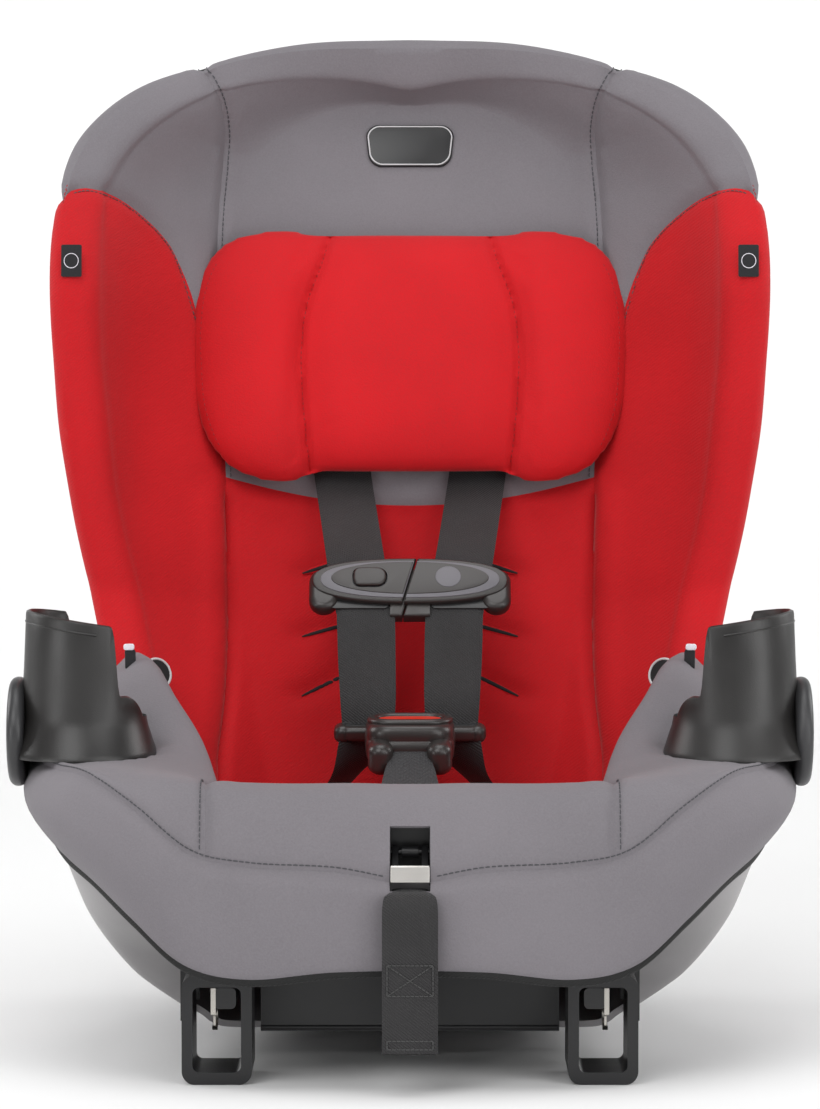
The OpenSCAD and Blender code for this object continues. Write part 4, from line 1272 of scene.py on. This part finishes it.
for side, flip in SIDES:
    verts, faces = cup_holder(flip)
    body = f"cup_holder_{side}"
    piece = mesh(f"cup_holder_wall_{side}", verts, faces, M["cup"], 40, body, "cup_plastic",
                 [body])
    bm = bmesh.new()
    bm.from_mesh(piece.data)
    bmesh.ops.remove_doubles(bm, verts=bm.verts, dist=0.00005)
    bmesh.ops.recalc_face_normals(bm, faces=bm.faces)
    bm.to_mesh(piece.data)
    bm.free()
    # Raised line under the rim and the tongue that drops into the bracket
    band = []
    for a in np.radians(np.linspace(-100, 52, 60)):
        top = cup_wall(a)
        r = CUP_R + 1.3 + 1.8 * (top - CUP_FLOOR) / 85
        band.append((flip * (CUP_X - cup_lean(top) + (r + 0.8) * math.cos(a)),
                     CUP_Y + (r + 0.8) * math.sin(a), top - 7))
    verts, faces = sweep(band, ring_section(0.8, 8, 0.8))
    mesh(f"cup_rim_line_{side}", verts, faces, M["cup"], 60, f"cup_holder_{side}", "cup_plastic")
    verts, faces = extrude(rounded_outline(47, 30, 5), 240.9, 244.3, 1.0)
    verts = np.stack([verts[:, 2] * flip, verts[:, 0] - 110, verts[:, 1] + 197], 1)
    mesh(f"cup_tongue_{side}", verts, faces, M["cup"], 35, f"cup_holder_{side}", "cup_plastic")
    # Small black loop tag with pale stitched ends beside the holder
    for k, (zz, look) in enumerate(((247, "white"), (239, "tag"), (231, "white"))):
        p = np.array([flip * (181.0 - 0.9 * k), -5.0, zz])
        plate(f"loop_tag_{k}_{side}", p, (-flip * 0.3, -0.95, 0.1),
              rounded_outline(7.0, 13 if look == "tag" else 4.2, 1.6), -0.9, 1.0, 0.5, look)


# ---------------------------------------------------------------- webbing
def eased(route, count, blur=10.0):
    """A route with its corners rounded over about blur millimetres, ends kept."""
    route = np.asarray(route, float)
    xyz = route[:, :3]
    length = np.linalg.norm(np.diff(xyz, axis=0), axis=1).sum()
    dense = resample(np.concatenate([xyz, route], 1), 400)[:, 3:]
    reach = max(2, int(blur / length * 400))
    out = dense.copy()
    for i in range(400):
        r = min(reach, i, 399 - i)
        out[i] = dense[i - r : i + r + 1].mean(0)
    return resample(np.concatenate([out[:, :3], out], 1), count)[:, 3:]


def strap(name, route, width=38, across=(1, 0, 0), thick=1.6, look="webbing", body=ROOT,
          between=None, replaces=(), count=60, ripple_size=0.35, blur=10.0):
    """Flat webbing along a route, with its UV map in metres. between = (body a, body b,
    start, end): if given, the strap is left on no body with its transform baked in; the bodies and
    points in it are not used."""
    n = len(route)
    widths = np.broadcast_to(np.asarray(width, float).reshape(-1, 1), (n, 1))
    dirs = np.broadcast_to(np.asarray(across, float).reshape(-1, 3), (n, 3))
    path = eased(np.concatenate([np.asarray(route, float), dirs, widths], 1), count, blur)
    points, dirs, widths = path[:, :3], path[:, 3:6], path[:, 6]
    along = unit(np.gradient(points, axis=0))
    step = run_length(points)
    side = unit(dirs - (dirs * along).sum(1)[:, None] * along)
    up = np.cross(along, side)
    us = np.linspace(-1, 1, 13)
    verts, uvs = [], []
    h = thick / 2
    for i in range(count):
        w = widths[i] / 2
        wave = ripple_size * math.sin(step[i] / 17.0 + widths[i])
        top = [(u * w, h * (1 - abs(u) ** 10) + 0.25 * math.cos(u * math.pi / 2)
                + wave * u * u) for u in us]
        low = [(u * w, -h * (1 - abs(u) ** 10) + wave * u * u) for u in us[::-1]]
        for a, b in top + low:
            verts.append(points[i] + side[i] * a + up[i] * b)
            uvs.append((a * MM, step[i] * MM))
    cols = 26
    faces = grid_faces(count, cols, closed=True)
    faces += [list(range(cols))[::-1], [(count - 1) * cols + c for c in range(cols)]]
    piece = mesh(name, verts, faces, M[look], 50, None)
    layer = piece.data.uv_layers.new(name="strap")
    for loop in piece.data.loops:
        layer.data[loop.index].uv = uvs[loop.vertex_index]
    if between:
        a, b, start, end = between
        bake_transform(piece)
    else:
        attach(piece, body)
    if replaces:
        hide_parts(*replaces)
    return piece


def mirror_x(points):
    return [np.asarray(p, float) * X_MIRROR for p in points]


CLIP_C, CLIP_TILT = np.array([0, 50, 284.0]), math.radians(40)
CLIP_V = np.array([0, math.sin(CLIP_TILT), math.cos(CLIP_TILT)])
CLIP_N = np.array([0, -math.cos(CLIP_TILT), math.sin(CLIP_TILT)])
BUCKLE_C, BUCKLE_TILT = np.array([0, -42, 190.0]), math.radians(13)
BUCKLE_V = np.array([0, math.cos(BUCKLE_TILT), math.sin(BUCKLE_TILT)])
BUCKLE_N = np.array([0, -math.sin(BUCKLE_TILT), math.cos(BUCKLE_TILT)])


def at_back(x, z, off):
    return np.array([x, float(back_y(z)) + off, z])


def beside_clip(x, v):
    return CLIP_C + [x, 0, 0] + v * CLIP_V


tongue_slot = BUCKLE_C + [27, 0, 0] + 36 * BUCKLE_V - 3 * BUCKLE_N
top_route = [at_back(49, 379, 38), at_back(49, 378, 4), at_back(47.5, 370, -3),
             at_back(45, 352, -4), beside_clip(37, 30), beside_clip(33, 0), beside_clip(29, -22)]
clip_route = [beside_clip(33, 19), beside_clip(31, 0), beside_clip(29, -22)]
low_route = [beside_clip(29, -20), beside_clip(28.6, -30), np.array([28, 14, 238.0]),
             np.array([27, -2, 212.0]), tongue_slot + [0, 1.4, 4], tongue_slot + [0, 0, -2]]
mid_point = np.array([28.3, 22.0, 248.0])
lap_route = [tongue_slot + [0, 0.6, -3], [34, -4, 178], [41, 0, 163], [53, 10, 151],
             [78, 32, 146.5], [102, 50, 144], [109, 55, 128], [110, 55, 104]]
lap_across = [(math.cos(a), -math.sin(a), 0) for a in np.radians([0, 34, 58, 62, 52, 20, 6, 0])]
lap_width = [34, 33, 32, 34, 34, 32, 30, 30]

strap("shoulder_webbing_left", mirror_x(top_route), across=(1, 0, 0),
      replaces=["shoulder_strap_left"], count=80)
strap("shoulder_webbing_right", top_route[:-2] + [beside_clip(34, 10)],
      between=(ROOT, "chest_clip_right", at_back(45, 352, -4), beside_clip(35, 22)),
      replaces=["shoulder_strap_right"], count=70)
strap("clip_webbing_right", clip_route, body="chest_clip_right", replaces=["clip_strap_right"],
      count=16, thick=1.7)
strap("chest_webbing_right", [low_route[0], low_route[1], mid_point],
      between=("chest_clip_right", ROOT, beside_clip(29, -22), mid_point), count=24, width=37.6)
strap("buckle_webbing_right", [mid_point + [0, 1.2, 2.2]] + low_route[2:],
      width=[37.6, 37.4, 36, 34, 33],
      between=(ROOT, "tongue_right", [27, 6, 226], tongue_slot), count=50)
strap("buckle_webbing_left", mirror_x(low_route), width=[38, 38, 37.4, 36, 34, 33],
      between=(ROOT, "tongue_left", [-27, 6, 226], tongue_slot * [-1, 1, 1]), count=70)
strap("lap_webbing_right", lap_route, lap_width, lap_across,
      between=("tongue_right", ROOT, tongue_slot, [62, 16, 150]),
      replaces=["lap_strap_right"], count=80)
strap("lap_webbing_left", mirror_x(lap_route), lap_width,
      [(-a, b, c) for a, b, c in lap_across],
      between=("tongue_left", ROOT, tongue_slot * [-1, 1, 1], [-62, 16, 150]),
      replaces=["lap_strap_left"], count=80)
crotch_route = [BUCKLE_C - 10 * BUCKLE_V + 1 * BUCKLE_N, BUCKLE_C - 26 * BUCKLE_V,
                BUCKLE_C - 34 * BUCKLE_V - [0, 0, 2.5], np.array([0, -90, 168]),
                np.array([0, -101, 152]), np.array([0, -105, 136]), np.array([0, -106, 100])]
strap("crotch_webbing", crotch_route, width=[24, 25, 28, 36, 40, 40, 38], look="herringbone",
      replaces=["crotch_strap"], count=70)
strap("adjuster_webbing", [[0, -233, 118.4], [0, -252, 118.8], [0, -262, 119], [0, -270.5, 118.2],
                           [0, -275.5, 112], [0, -277, 98], [0, -278, 60], [0, -278.6, 26]],
      width=[22, 22, 23, 31, 33, 33, 33, 33], replaces=["adjuster_strap"], count=90, blur=5.0,
      ripple_size=0.2)
strap("adjuster_webbing_fold", [[0, -275.0, 84], [0, -276.0, 60], [0, -276.4, 25]], width=33,
      thick=1.4, count=30, ripple_size=0.2)


def sewn_box(name, centre, w, h, normal, cross=True):
    """Box-and-cross stitching on a strap."""
    corners = [(-w / 2, -h / 2), (w / 2, -h / 2), (w / 2, h / 2), (-w / 2, h / 2)]
    runs = [(corners[i], corners[(i + 1) % 4]) for i in range(4)]
    if cross:
        runs += [(corners[0], corners[2]), (corners[1], corners[3])]
    parts = []
    for (x0, y0), (x1, y1) in runs:
        count = max(2, int(math.hypot(x1 - x0, y1 - y0) / 2.6))
        for k in range(count):
            a, b = (k + 0.12) / count, (k + 0.88) / count
            route = [(lerp(x0, x1, t), lerp(y0, y1, t), h3) for t, h3 in
                     ((a, -0.25), ((a + b) / 2, 0.22), (b, -0.25))]
            parts.append(sweep(route, ring_section(0.38, 6), ups=[(0, 0, 1)] * 3))
    verts, faces = joined(parts)
    mesh(name, transform(verts, facing(centre, normal)), faces, M["thread_black"], 80, ROOT,
         "webbing")


front_face = (0, -1, 0.02)
sewn_box("adjuster_sewing", (0, -279.1, 69), 27, 18, front_face)
sewn_box("adjuster_end_sewing", (0, -279.6, 31), 27, 5, front_face, cross=False)

# Webbing and tether behind the shell
for side, flip in SIDES:
    route = [[49, float(back_y(378)) + 36, 379], [49, float(shell_y(378)) + 2.4, 378],
             [40, float(shell_y(362)) + 8.6, 364], [26, float(shell_y(344)) + 9.4, 344]]
    strap(f"back_webbing_{side}", [np.array(p) * [flip, 1, 1] for p in route],
          [38, 38, 34, 30], replaces=["back_straps"] if flip > 0 else (), count=40)
strap("splitter_webbing", [[0, float(shell_y(326)) + 9.2, 326], [0, float(shell_y(260)) + 7.6, 260],
                           [0, float(shell_y(200)) + 9.4, 200], [0, 178.6, 160], [0, 192.4, 130],
                           [0, 193.4, 90], [0, 184.6, 46]], 33, count=80)
strap("tether_webbing", [[60, float(shell_y(z)) + 3.2, z] for z in (562, 520, 480, 446, 434)], 26,
      replaces=["tether_strap"], count=50)
shell_back = (0, math.cos(math.radians(17.6)), -math.sin(math.radians(17.6)))
sewn_box("tether_sewing", (60, float(shell_y(462)) + 4.4, 462), 20, 16, shell_back)
sewn_box("tether_anchor_sewing", (60, float(shell_y(548)) + 4.4, 548), 20, 16, shell_back)

# ---------------------------------------------------------------- chest clip
def coil_spring(radius, wire, z0, z1, turns):
    """Round wire wound into a coil along Z."""
    a = np.linspace(0, 2 * math.pi * turns, int(24 * turns))
    route = np.stack([radius * np.cos(a), radius * np.sin(a), np.linspace(z0, z1, len(a))], 1)
    return sweep(route, ring_section(wire, 8))


def on_clip(verts):
    """Clip coordinates: X across, Y up the straps, Z out to the front."""
    verts = np.asarray(verts, float)
    return CLIP_C + verts[:, :1] * [1, 0, 0] + verts[:, 1:2] * CLIP_V + verts[:, 2:] * CLIP_N


def clip_part(name, shape, z0, z1, bevel, look, body=ROOT, replaces=(), steps=4):
    verts, faces = extrude(shape, z0, z1, bevel, steps)
    return mesh(name, on_clip(verts), faces, M[look], 32, body, "clip_plastic", replaces)


def lens(w, h, side, power=2.6, gap=0.35, slope=0.25, count=90):
    """One half of a lens-shaped plate, split on the slant. side is -1 or 1."""
    points = [(gap - slope * h / 2 * side, -h / 2)]
    for a in np.linspace(-math.pi / 2, math.pi / 2, count):
        x = w / 2 * math.cos(a) ** (2 / power)
        y = h / 2 * math.copysign(abs(math.sin(a)) ** (2 / power), math.sin(a))
        if x - slope * y * side > gap + 1:
            points.append((x, y))
    points.append((gap + slope * h / 2 * side, h / 2))
    points = [(x * side, y) for x, y in points]
    return points if side > 0 else points[::-1]


for side, flip, body in (("left", -1, ROOT), ("right", 1, "chest_clip_right")):
    middle = [(min(x * flip, 13) * flip, y - 7.5) for x, y in lens(124, 38, flip, 3.0)]
    back = [(x, y - 1) for x, y in lens(122, 30, flip, 3.0)]
    # The slot is a dark plate laid where the strap leaves the clip: painted shadow of that opening.
    slot_shadow_shape = [(flip * 33 + x, y - 16) for x, y in rounded_outline(38, 9, 3)]
    inlay = [(x, y + 0.9) for x, y in lens(103, 26, flip, 2.1, 1.2)]
    end = [(flip * 56.5 + x, y - 5.5) for x, y in rounded_outline(19, 33, 9.4, 10)]
    for part, shape, z0, z1, bevel, look in (
            ("base", middle, -6, 2.6, 1.6, "clip"), ("back", back, -6, -3, 1.2, "clip"),
            ("slot", slot_shadow_shape, 0.8, 2.2, 0.4, "badge"),
            ("plate", lens(128, 36, flip, 2.4), 0.5, 6.2, 2.0, "clip"),
            ("accent", lens(117, 30, flip, 2.3, 0.9), 4.0, 6.7, 0.5, "clip_pale"),
            ("inlay", inlay, 4.0, 7.2, 0.6, "clip")):
        clip_part(f"clip_{part}_{side}", shape, z0, z1, bevel, look, body,
                  [f"chest_clip_{side}"] if part == "base" else ())
    clip_part(f"clip_end_{side}", end, -6.5, 5.0, 4.2, "clip", body, steps=5)

# The push button sinks into a pocket, on a spring
BUTTON_X, BUTTON_Y = -27, 1
button_shape = [(x + 1.5 * (x < 0) * (1 - (y / 7) ** 2), y) for x, y in
                rounded_outline(23, 14.5, 6.4, 8)]


def button_outline(wide=1.0, high=1.0):
    return [(x * wide + BUTTON_X, y * high + BUTTON_Y) for x, y in button_shape]


clip_part("clip_button_well", button_outline(1.12, 1.16), 6.2, 7.15, 0.3, "badge")
verts, faces = extrude(button_outline(1.07, 1.09), 4.2, 12)
cutter = mesh("clip_button_pocket", on_clip(verts), faces, M["clip"], body=None)
for name, look in (("clip_plate_left", "clip"), ("clip_accent_left", "clip_pale"),
                   ("clip_inlay_left", "clip"), ("clip_button_well", "badge")):
    piece = bpy.data.objects[name]
    pocket = piece.modifiers.new("pocket", "BOOLEAN")
    pocket.operation, pocket.object, pocket.solver = "DIFFERENCE", cutter, "EXACT"
    apply_modifiers(piece)
    finish(piece, M[look], 32)
bpy.data.objects.remove(cutter)
clip_part("clip_button_face", button_outline(), 6.4, 9.3, 1.5, "clip", "clip_button",
          ["clip_button"])
verts, faces = coil_spring(3.3, 0.4, 3.35, 4.75, 2.5)
piece = mesh("clip_spring_coil", on_clip(verts + [BUTTON_X, BUTTON_Y, 0]), faces, M["plated"], 60,
             ROOT, "steel", ["clip_spring"])
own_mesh(piece)
clip_part("clip_disc", ellipse(25, 1.5, 8.4, 8.4, 47), 6.8, 7.5, 0.3, "clip_pale",
          "chest_clip_right")

# ---------------------------------------------------------------- crotch buckle
def on_buckle(verts):
    verts = np.asarray(verts, float)
    return BUCKLE_C + verts[:, :1] * [1, 0, 0] + verts[:, 1:2] * BUCKLE_V + verts[:, 2:] * BUCKLE_N


def raised(verts):
    """Lifts the front of the buckle's top towards the viewer, round its rear edge."""
    verts = np.array(verts, float)
    verts[:, 2] += np.clip(verts[:, 2], 0, None) / 10 * 5.6 * (20 - verts[:, 1]) / 31
    return verts


def buckle_part(name, shape, z0, z1, bevel, look, body=ROOT, slot="clip_plastic", replaces=(),
                steps=5, lift=lambda verts: verts):
    verts, faces = extrude(shape, z0, z1, bevel, steps)
    mesh(name, on_buckle(lift(verts)), faces, M[look], 32, body, slot, replaces)


body_shape = [(x * (1 + 0.10 * (y + 26) / 52), y) for x, y in rounded_outline(54, 50, 14, 9)]
buckle_part("buckle_lower", body_shape, -10, 4, 4.0, "clip", replaces=["buckle_body"],
            lift=raised)
verts, faces = pocketed([(x * 0.98, y * 0.94 + 1) for x, y in body_shape],
                        [(x, y + 4) for x, y in rounded_outline(43.4, 27.4, 12.2, 9)], -1, 9.2, 3.0,
                        4.4)
mesh("buckle_upper", on_buckle(raised(verts)), faces, M["clip"], 32, ROOT, "clip_plastic")
verts, faces = coil_spring(4.3, 0.5, 4.7, 7.0, 3.5)
piece = mesh("buckle_spring_coil", on_buckle(verts + [0, 4, 0]), faces, M["plated"], 60, ROOT,
             "steel", ["buckle_spring"])
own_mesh(piece)
ring_path = [(x, y + 4, 9.8) for x, y in rounded_outline(49, 31, 14, 10)]
ring_path = on_buckle(raised(ring_path + ring_path[:2]))
oval = np.array([(a * 2.8, b * 2.3) for a, b in ring_section(1.0, 12)])
verts, faces = sweep(ring_path, oval, False, ups=[BUCKLE_N] * len(ring_path))
mesh("buckle_rim", verts, faces, M["clip"], 60, ROOT, "clip_plastic")
buckle_part("buckle_button_face", [(x, y + 4) for x, y in rounded_outline(42, 26, 11.6, 9)],
            7.4, 10.4, 2.0, "button_red", "buckle_button", "button_red", ["buckle_button"],
            lift=raised)
for side, flip in SIDES:
    # Lobe of the housing, then the tongue: moulded wing with a strap slot and a knob, and a
    # steel blade into the buckle. Each row: name, outline, its centre, z, bevel, look, steps
    for part, shape, x0, y0, z0, z1, bevel, look, steps in (
            ("buckle_lobe", (16, 25, 7.8, 8), 18.6, -23.5, -13, 7.5, 6.2, "clip", 6),
            ("tongue_wing", (42, 17, 7.5, 8), 24.6, 35.5, -10.5, -1.0, 3.2, "clip", 5),
            ("tongue_slot", (36, 5.0, 2.3, 5), 27, 36, -2.0, -0.6, 0.3, "badge", 5),
            ("tongue_knob", (11, 15, 5.2, 8), 43.5, 35, -12, -0.5, 4.6, "clip", 6),
            ("tongue_blade", (17.5, 29, 3, 5), 13.2, 13, -2.3, 0.3, 0.5, "plated", 5)):
        outline_points = [(flip * x0 + x, y + y0) for x, y in rounded_outline(*shape)]
        buckle_part(f"{part}_{side}", outline_points, z0, z1, bevel, look,
                    ROOT if part == "buckle_lobe" else f"tongue_{side}",
                    "steel" if look == "plated" else "clip_plastic",
                    [f"tongue_{side}"] if part == "tongue_wing" else (), steps)

# ---------------------------------------------------------------- adjuster
def lever_part(name, profile, x0, x1, look, replaces=()):
    """A part of the lever whose (y, z) profile runs across the seat from x0 to x1."""
    verts, faces = extrude(profile, x0, x1, 0.5, 3)
    mesh(name, verts[:, [2, 0, 1]], faces, M[look], 35, "adjuster_lever", "steel", replaces)


plate_profile = [(-262, 125.2), (-259, 125.2), (-259, 134.2), (-259.6, 135), (-261.4, 135),
                 (-262, 134.2)]
ear_profile = [(-260, 131), (-258, 130), (-245, 133), (-240, 137), (-237, 141), (-240, 145),
               (-244, 144), (-248, 140), (-259, 135)]
lever_part("adjuster_plate", plate_profile, -11.6, 11.6, "steel", ["adjuster_lever"])
for side, flip in SIDES:
    lever_part(f"adjuster_ear_{side}", ear_profile, *sorted((flip * 7.0, flip * 10.6)), "badge")

# ---------------------------------------------------------------- tub
# Height, half width, front and back of the tub's outside
TUB_ROWS = [(14, 4, -101, -98), (14, 70, -104, 60), (14, 112, -106, 140), (17, 124, -108, 154),
            (22, 131, -111, 163), (31, 145, -117, 172), (42, 161, -124, 178),
            (52, 173, -136, 181), (70, 188, -160, 184), (90, 200, -206, 185),
            (110, 208, -238, 183), (134, 217, -246, 171), (152, 223, -247, 153),
            (167, 226, -247, 141), (176, 225, -247, 136), (179, 220, -247, 132),
            (179.5, 178, -247, 112)]
TUB_Y = -100


def moulding(name, verts, faces, wall, look, replaces):
    """A plastic shell from the outside of its right half."""
    normals = vertex_normals(verts, faces)
    if normals[np.argmax(verts[:, 0])][0] < 0:
        normals = -normals
    verts, faces = thicken(verts, faces, wall, normals)
    mesh(name, *whole(verts, faces), M[look], 30, ROOT, f"{look}_plastic", replaces)


tub_row = [curve([(k, r[i]) for k, r in enumerate(TUB_ROWS)]) for i in range(4)]
tub_grid = []
for k in np.linspace(0, len(TUB_ROWS) - 1, 110):
    z, w, front, back = [float(f(k)) for f in tub_row]
    line = []
    for a in np.linspace(0, math.pi, 120):
        deep = back - TUB_Y if math.cos(a) > 0 else TUB_Y - front
        line.append((w * math.sin(a) ** (2 / 2.8),
                     TUB_Y + deep * math.copysign(abs(math.cos(a)) ** (2 / 2.8), math.cos(a)), z))
    tub_grid.append(line)
tub_grid = np.array(tub_grid)
tub_lookup = Grid(*tub_grid.shape[:2])
rim_z = curve([(-250, 126), (-236, 128), (-214, 148), (-150, 158), (-60, 184), (0, 196),
               (30, 190), (50, 178), (58, 190), (300, 190)])


def tub_at(params):
    return tub_lookup.at(params, tub_grid)


def above_rim(params):
    p = tub_at(params)
    return p[:, 2] - rim_z(p[:, 1])


def in_recess(params):
    p = tub_at(params)
    return np.maximum(np.maximum(p[:, 0] - 141, p[:, 1] + 92), p[:, 2] - 84.3)


def in_belt_window(params):
    p = tub_at(params)
    return ((p[:, 1] + 15) / 44) ** 6 + ((p[:, 2] - 125) / 24) ** 6 - 1 + (p[:, 0] < 100) * 9.0


tub_sheet = Sheet(tub_lookup.rows, tub_lookup.cols)
for side in (above_rim, in_recess, in_belt_window):
    tub_sheet.cut(side)
tub_points = tub_at(np.array(tub_sheet.p))
verts, faces, used = tub_sheet.part(tub_points, lambda k: not k[0] and k[1] and k[2])
moulding("tub_moulding", verts, faces, 4.0, "tub", ["seat_tub"])


# ---------------------------------------------------------------- hardware from the CAD
def dress(node, look, bevel):
    """Gives a CAD node a material and rounded edges."""
    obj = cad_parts[node]
    obj.data.materials.clear()
    obj.data.materials.append(M[look])
    for p in obj.data.polygons:
        p.use_smooth = True
        p.material_index = 0
    if "custom_normal" in obj.data.attributes:
        obj.data.attributes.remove(obj.data.attributes["custom_normal"])
    weld = obj.modifiers.new("weld", "WELD")
    weld.merge_threshold = 0.02 * MM
    edge = obj.modifiers.new("edges", "BEVEL")
    edge.width = bevel * MM
    edge.segments = 3
    edge.limit_method = "ANGLE"
    edge.angle_limit = math.radians(32)
    edge.harden_normals = True
    edge.use_clamp_overlap = True
    level = obj.modifiers.new("normals", "WEIGHTED_NORMAL")
    level.keep_sharp = True


HARDWARE = {
    "base": {"base": 1.0, "rear_foot": 2.0, "seat_deck": 0.6, "recline_foot": 1.6,
             "latch_connectors": 1.2},
    "foam": {"wing_foam_left": 1.5, "wing_foam_right": 1.5},
    "badge": {"adjuster_housing": 0.4, "adjuster_pin": 0.3, "adjuster_spring": 0.2},
    "plated": {"splitter_plate": 0.5, "anchor_plates": 0.4, "tether_hook": 0.6,
               "tether_gate": 0.3, "shell_screws": 0.4, "foot_rod": 0.5, "latch_hooks": 0.7,
               "latch_gate_left": 0.3, "latch_gate_right": 0.3},
}
for look, nodes in HARDWARE.items():
    for node, bevel in nodes.items():
        dress(node, look, bevel)


# ---------------------------------------------------------------- cup brackets
BRACKET_YZ = (-108, 201.5)
for side, flip in SIDES:
    verts, faces = extrude(ellipse(*BRACKET_YZ, 37, 34, 72), 238, 248.6, 5.0, 6)
    verts = np.stack([verts[:, 2] * flip, verts[:, 0], verts[:, 1]], 1)
    mesh(f"cup_bracket_{side}", verts, faces, M["shell"], 32, ROOT, "shell_plastic",
         ["cup_brackets"] if flip > 0 else ())
    verts, faces = extrude(ellipse(*BRACKET_YZ, 26, 23.5, 72), 247.9, 249.0, 0.5, 3)
    verts = np.stack([verts[:, 2] * flip, verts[:, 0], verts[:, 1]], 1)
    mesh(f"cup_bracket_face_{side}", verts, faces, M["cup"], 32, ROOT, "shell_plastic")

# ---------------------------------------------------------------- shell
SHELL_LOW, SHELL_TOP, SHELL_IN = 166, 640, 6


def shell_point(z, a):
    """Point of the shell's outside at a height and an angle round from the back."""
    w = float(half_w(z)) - SHELL_IN
    front = max(float(edge_y(z)), 48) + 4
    return np.array([w * math.sin(a) ** (2 / 2.8),
                     front + (float(shell_y(z)) - front) * max(math.cos(a), 0) ** (2 / 2.8), z])


shell_zs = np.concatenate([np.linspace(SHELL_LOW, 560, 150), np.linspace(562, SHELL_TOP, 50)])
shell_angles = np.linspace(0, math.pi / 2, 80)
shell_grid = [[shell_point(z, a) for a in shell_angles] for z in shell_zs]
top_row = np.array(shell_grid[-1])
for t in np.linspace(0.06, 1, 14):
    # The top closes over towards the cover
    inward = top_row * [1 - t, 1, 1]
    inward[:, 1] = lerp(top_row[:, 1], top_row[:, 1].min() + 6, t)
    inward[:, 2] = SHELL_TOP + 2.0 * math.sin(math.pi / 2 * min(1, t * 4))
    shell_grid.append(list(inward))
shell_grid = np.array(shell_grid)
ways = grid_normals(shell_grid, (60, 5), 1)
# Two upright flutes stiffen the back
gx, gz = shell_grid[..., 0], shell_grid[..., 2]
within = smooth((gz - 300) / 20) * smooth((600 - gz) / 25)
flute = np.exp(-(((gx - lerp(88, 104, (gz - 300) / 300)) / 5.5) ** 4)) * within
shell_grid[:200] -= (ways * (2.2 * flute)[..., None])[:200]
shell_lookup = Grid(*shell_grid.shape[:2])


def shell_openings(params):
    p = shell_lookup.at(params, shell_grid)
    side_hole = ((p[:, 1] - 129) / 31) ** 6 + ((p[:, 2] - 219) / 28) ** 6 - 1
    side_hole = np.clip(side_hole, -1, 3) + 4 * (p[:, 0] < 110)
    for z in (378, 292, 252, 214):
        hole = ((p[:, 0] - 52) / 25) ** 6 + ((p[:, 2] - z) / 5) ** 6 - 1
        side_hole = np.minimum(side_hole, np.clip(hole, -1, 3))
    return side_hole


shell_sheet = Sheet(shell_lookup.rows, shell_lookup.cols)
shell_sheet.cut(shell_openings)
shell_points = shell_lookup.at(np.array(shell_sheet.p), shell_grid)
verts, faces, used = shell_sheet.part(shell_points, lambda k: k[0])
moulding("shell_moulding", verts, faces, 3.6, "shell", ["seat_shell"])

# ---------------------------------------------------------------- studio and camera
def studio():
    data = bpy.data.meshes.new("studio_floor")
    profile = [(-6.0, 0.0), (3.8, 0.0)]
    for a in np.radians(np.linspace(0, 90, 14)):
        profile.append((3.8 + 1.6 * math.sin(a), 1.6 * (1 - math.cos(a))))
    profile.append((5.4, 7.0))
    verts = [(x, y, z) for y, z in profile for x in (-8.0, 8.0)]
    faces = [(2 * i, 2 * i + 1, 2 * i + 3, 2 * i + 2) for i in range(len(profile) - 1)]
    data.from_pydata(verts, [], faces)
    for p in data.polygons:
        p.use_smooth = True
    floor = bpy.data.objects.new("studio_floor", data)
    bpy.context.scene.collection.objects.link(floor)
    n = Nodes("studio_pale")
    n.rough(n.noise(3.0), 0.6, 0.7)
    data.materials.append(n.done((0.87, 0.87, 0.87, 1), Specular_IOR_Level=0.2))

    world = bpy.data.worlds.new("studio_world")
    world.use_nodes = True
    world.node_tree.nodes["Background"].inputs["Color"].default_value = (1, 1, 1, 1)
    world.node_tree.nodes["Background"].inputs["Strength"].default_value = 0.26
    bpy.context.scene.world = world

    lights = [("key", (-1.1, -2.6, 2.3), 1.9, 46), ("fill", (1.6, -2.6, 1.5), 2.0, 28),
              ("top", (0.0, -0.3, 2.6), 1.8, 30), ("rim_left", (-2.2, 0.8, 1.2), 1.2, 22),
              ("rim_right", (2.2, 0.8, 1.2), 1.2, 22),
              ("low_left", (-1.9, -1.5, 0.35), 0.8, 9), ("low_right", (1.9, -1.5, 0.35), 0.8, 9),
              ("backdrop", (0.0, 3.4, 2.8), 3.0, 70)]
    for name, place_at, size, power in lights:
        lamp = bpy.data.lights.new(name, "AREA")
        lamp.shape = "SQUARE"
        lamp.size = size
        lamp.energy = power
        obj = bpy.data.objects.new(name, lamp)
        obj.location = place_at
        aim = Vector((0, 5.0, 0.9) if name == "backdrop" else (0, 0, 0.33))
        obj.rotation_euler = (aim - obj.location).to_track_quat("-Z", "Y").to_euler()
        bpy.context.scene.collection.objects.link(obj)


def camera():
    data = bpy.data.cameras.new("camera")
    data.lens = 151.3
    data.sensor_width = 36
    data.sensor_fit = "AUTO"
    data.clip_end = 50
    obj = bpy.data.objects.new("camera", data)
    obj.location = (0.0, -3.0, 0.450)
    aim = Vector((0, 0, 0.30642))
    obj.rotation_euler = (aim - obj.location).to_track_quat("-Z", "Y").to_euler()
    bpy.context.scene.collection.objects.link(obj)
    bpy.context.scene.camera = obj


studio()
camera()
bpy.context.scene.view_settings.view_transform = "Standard"
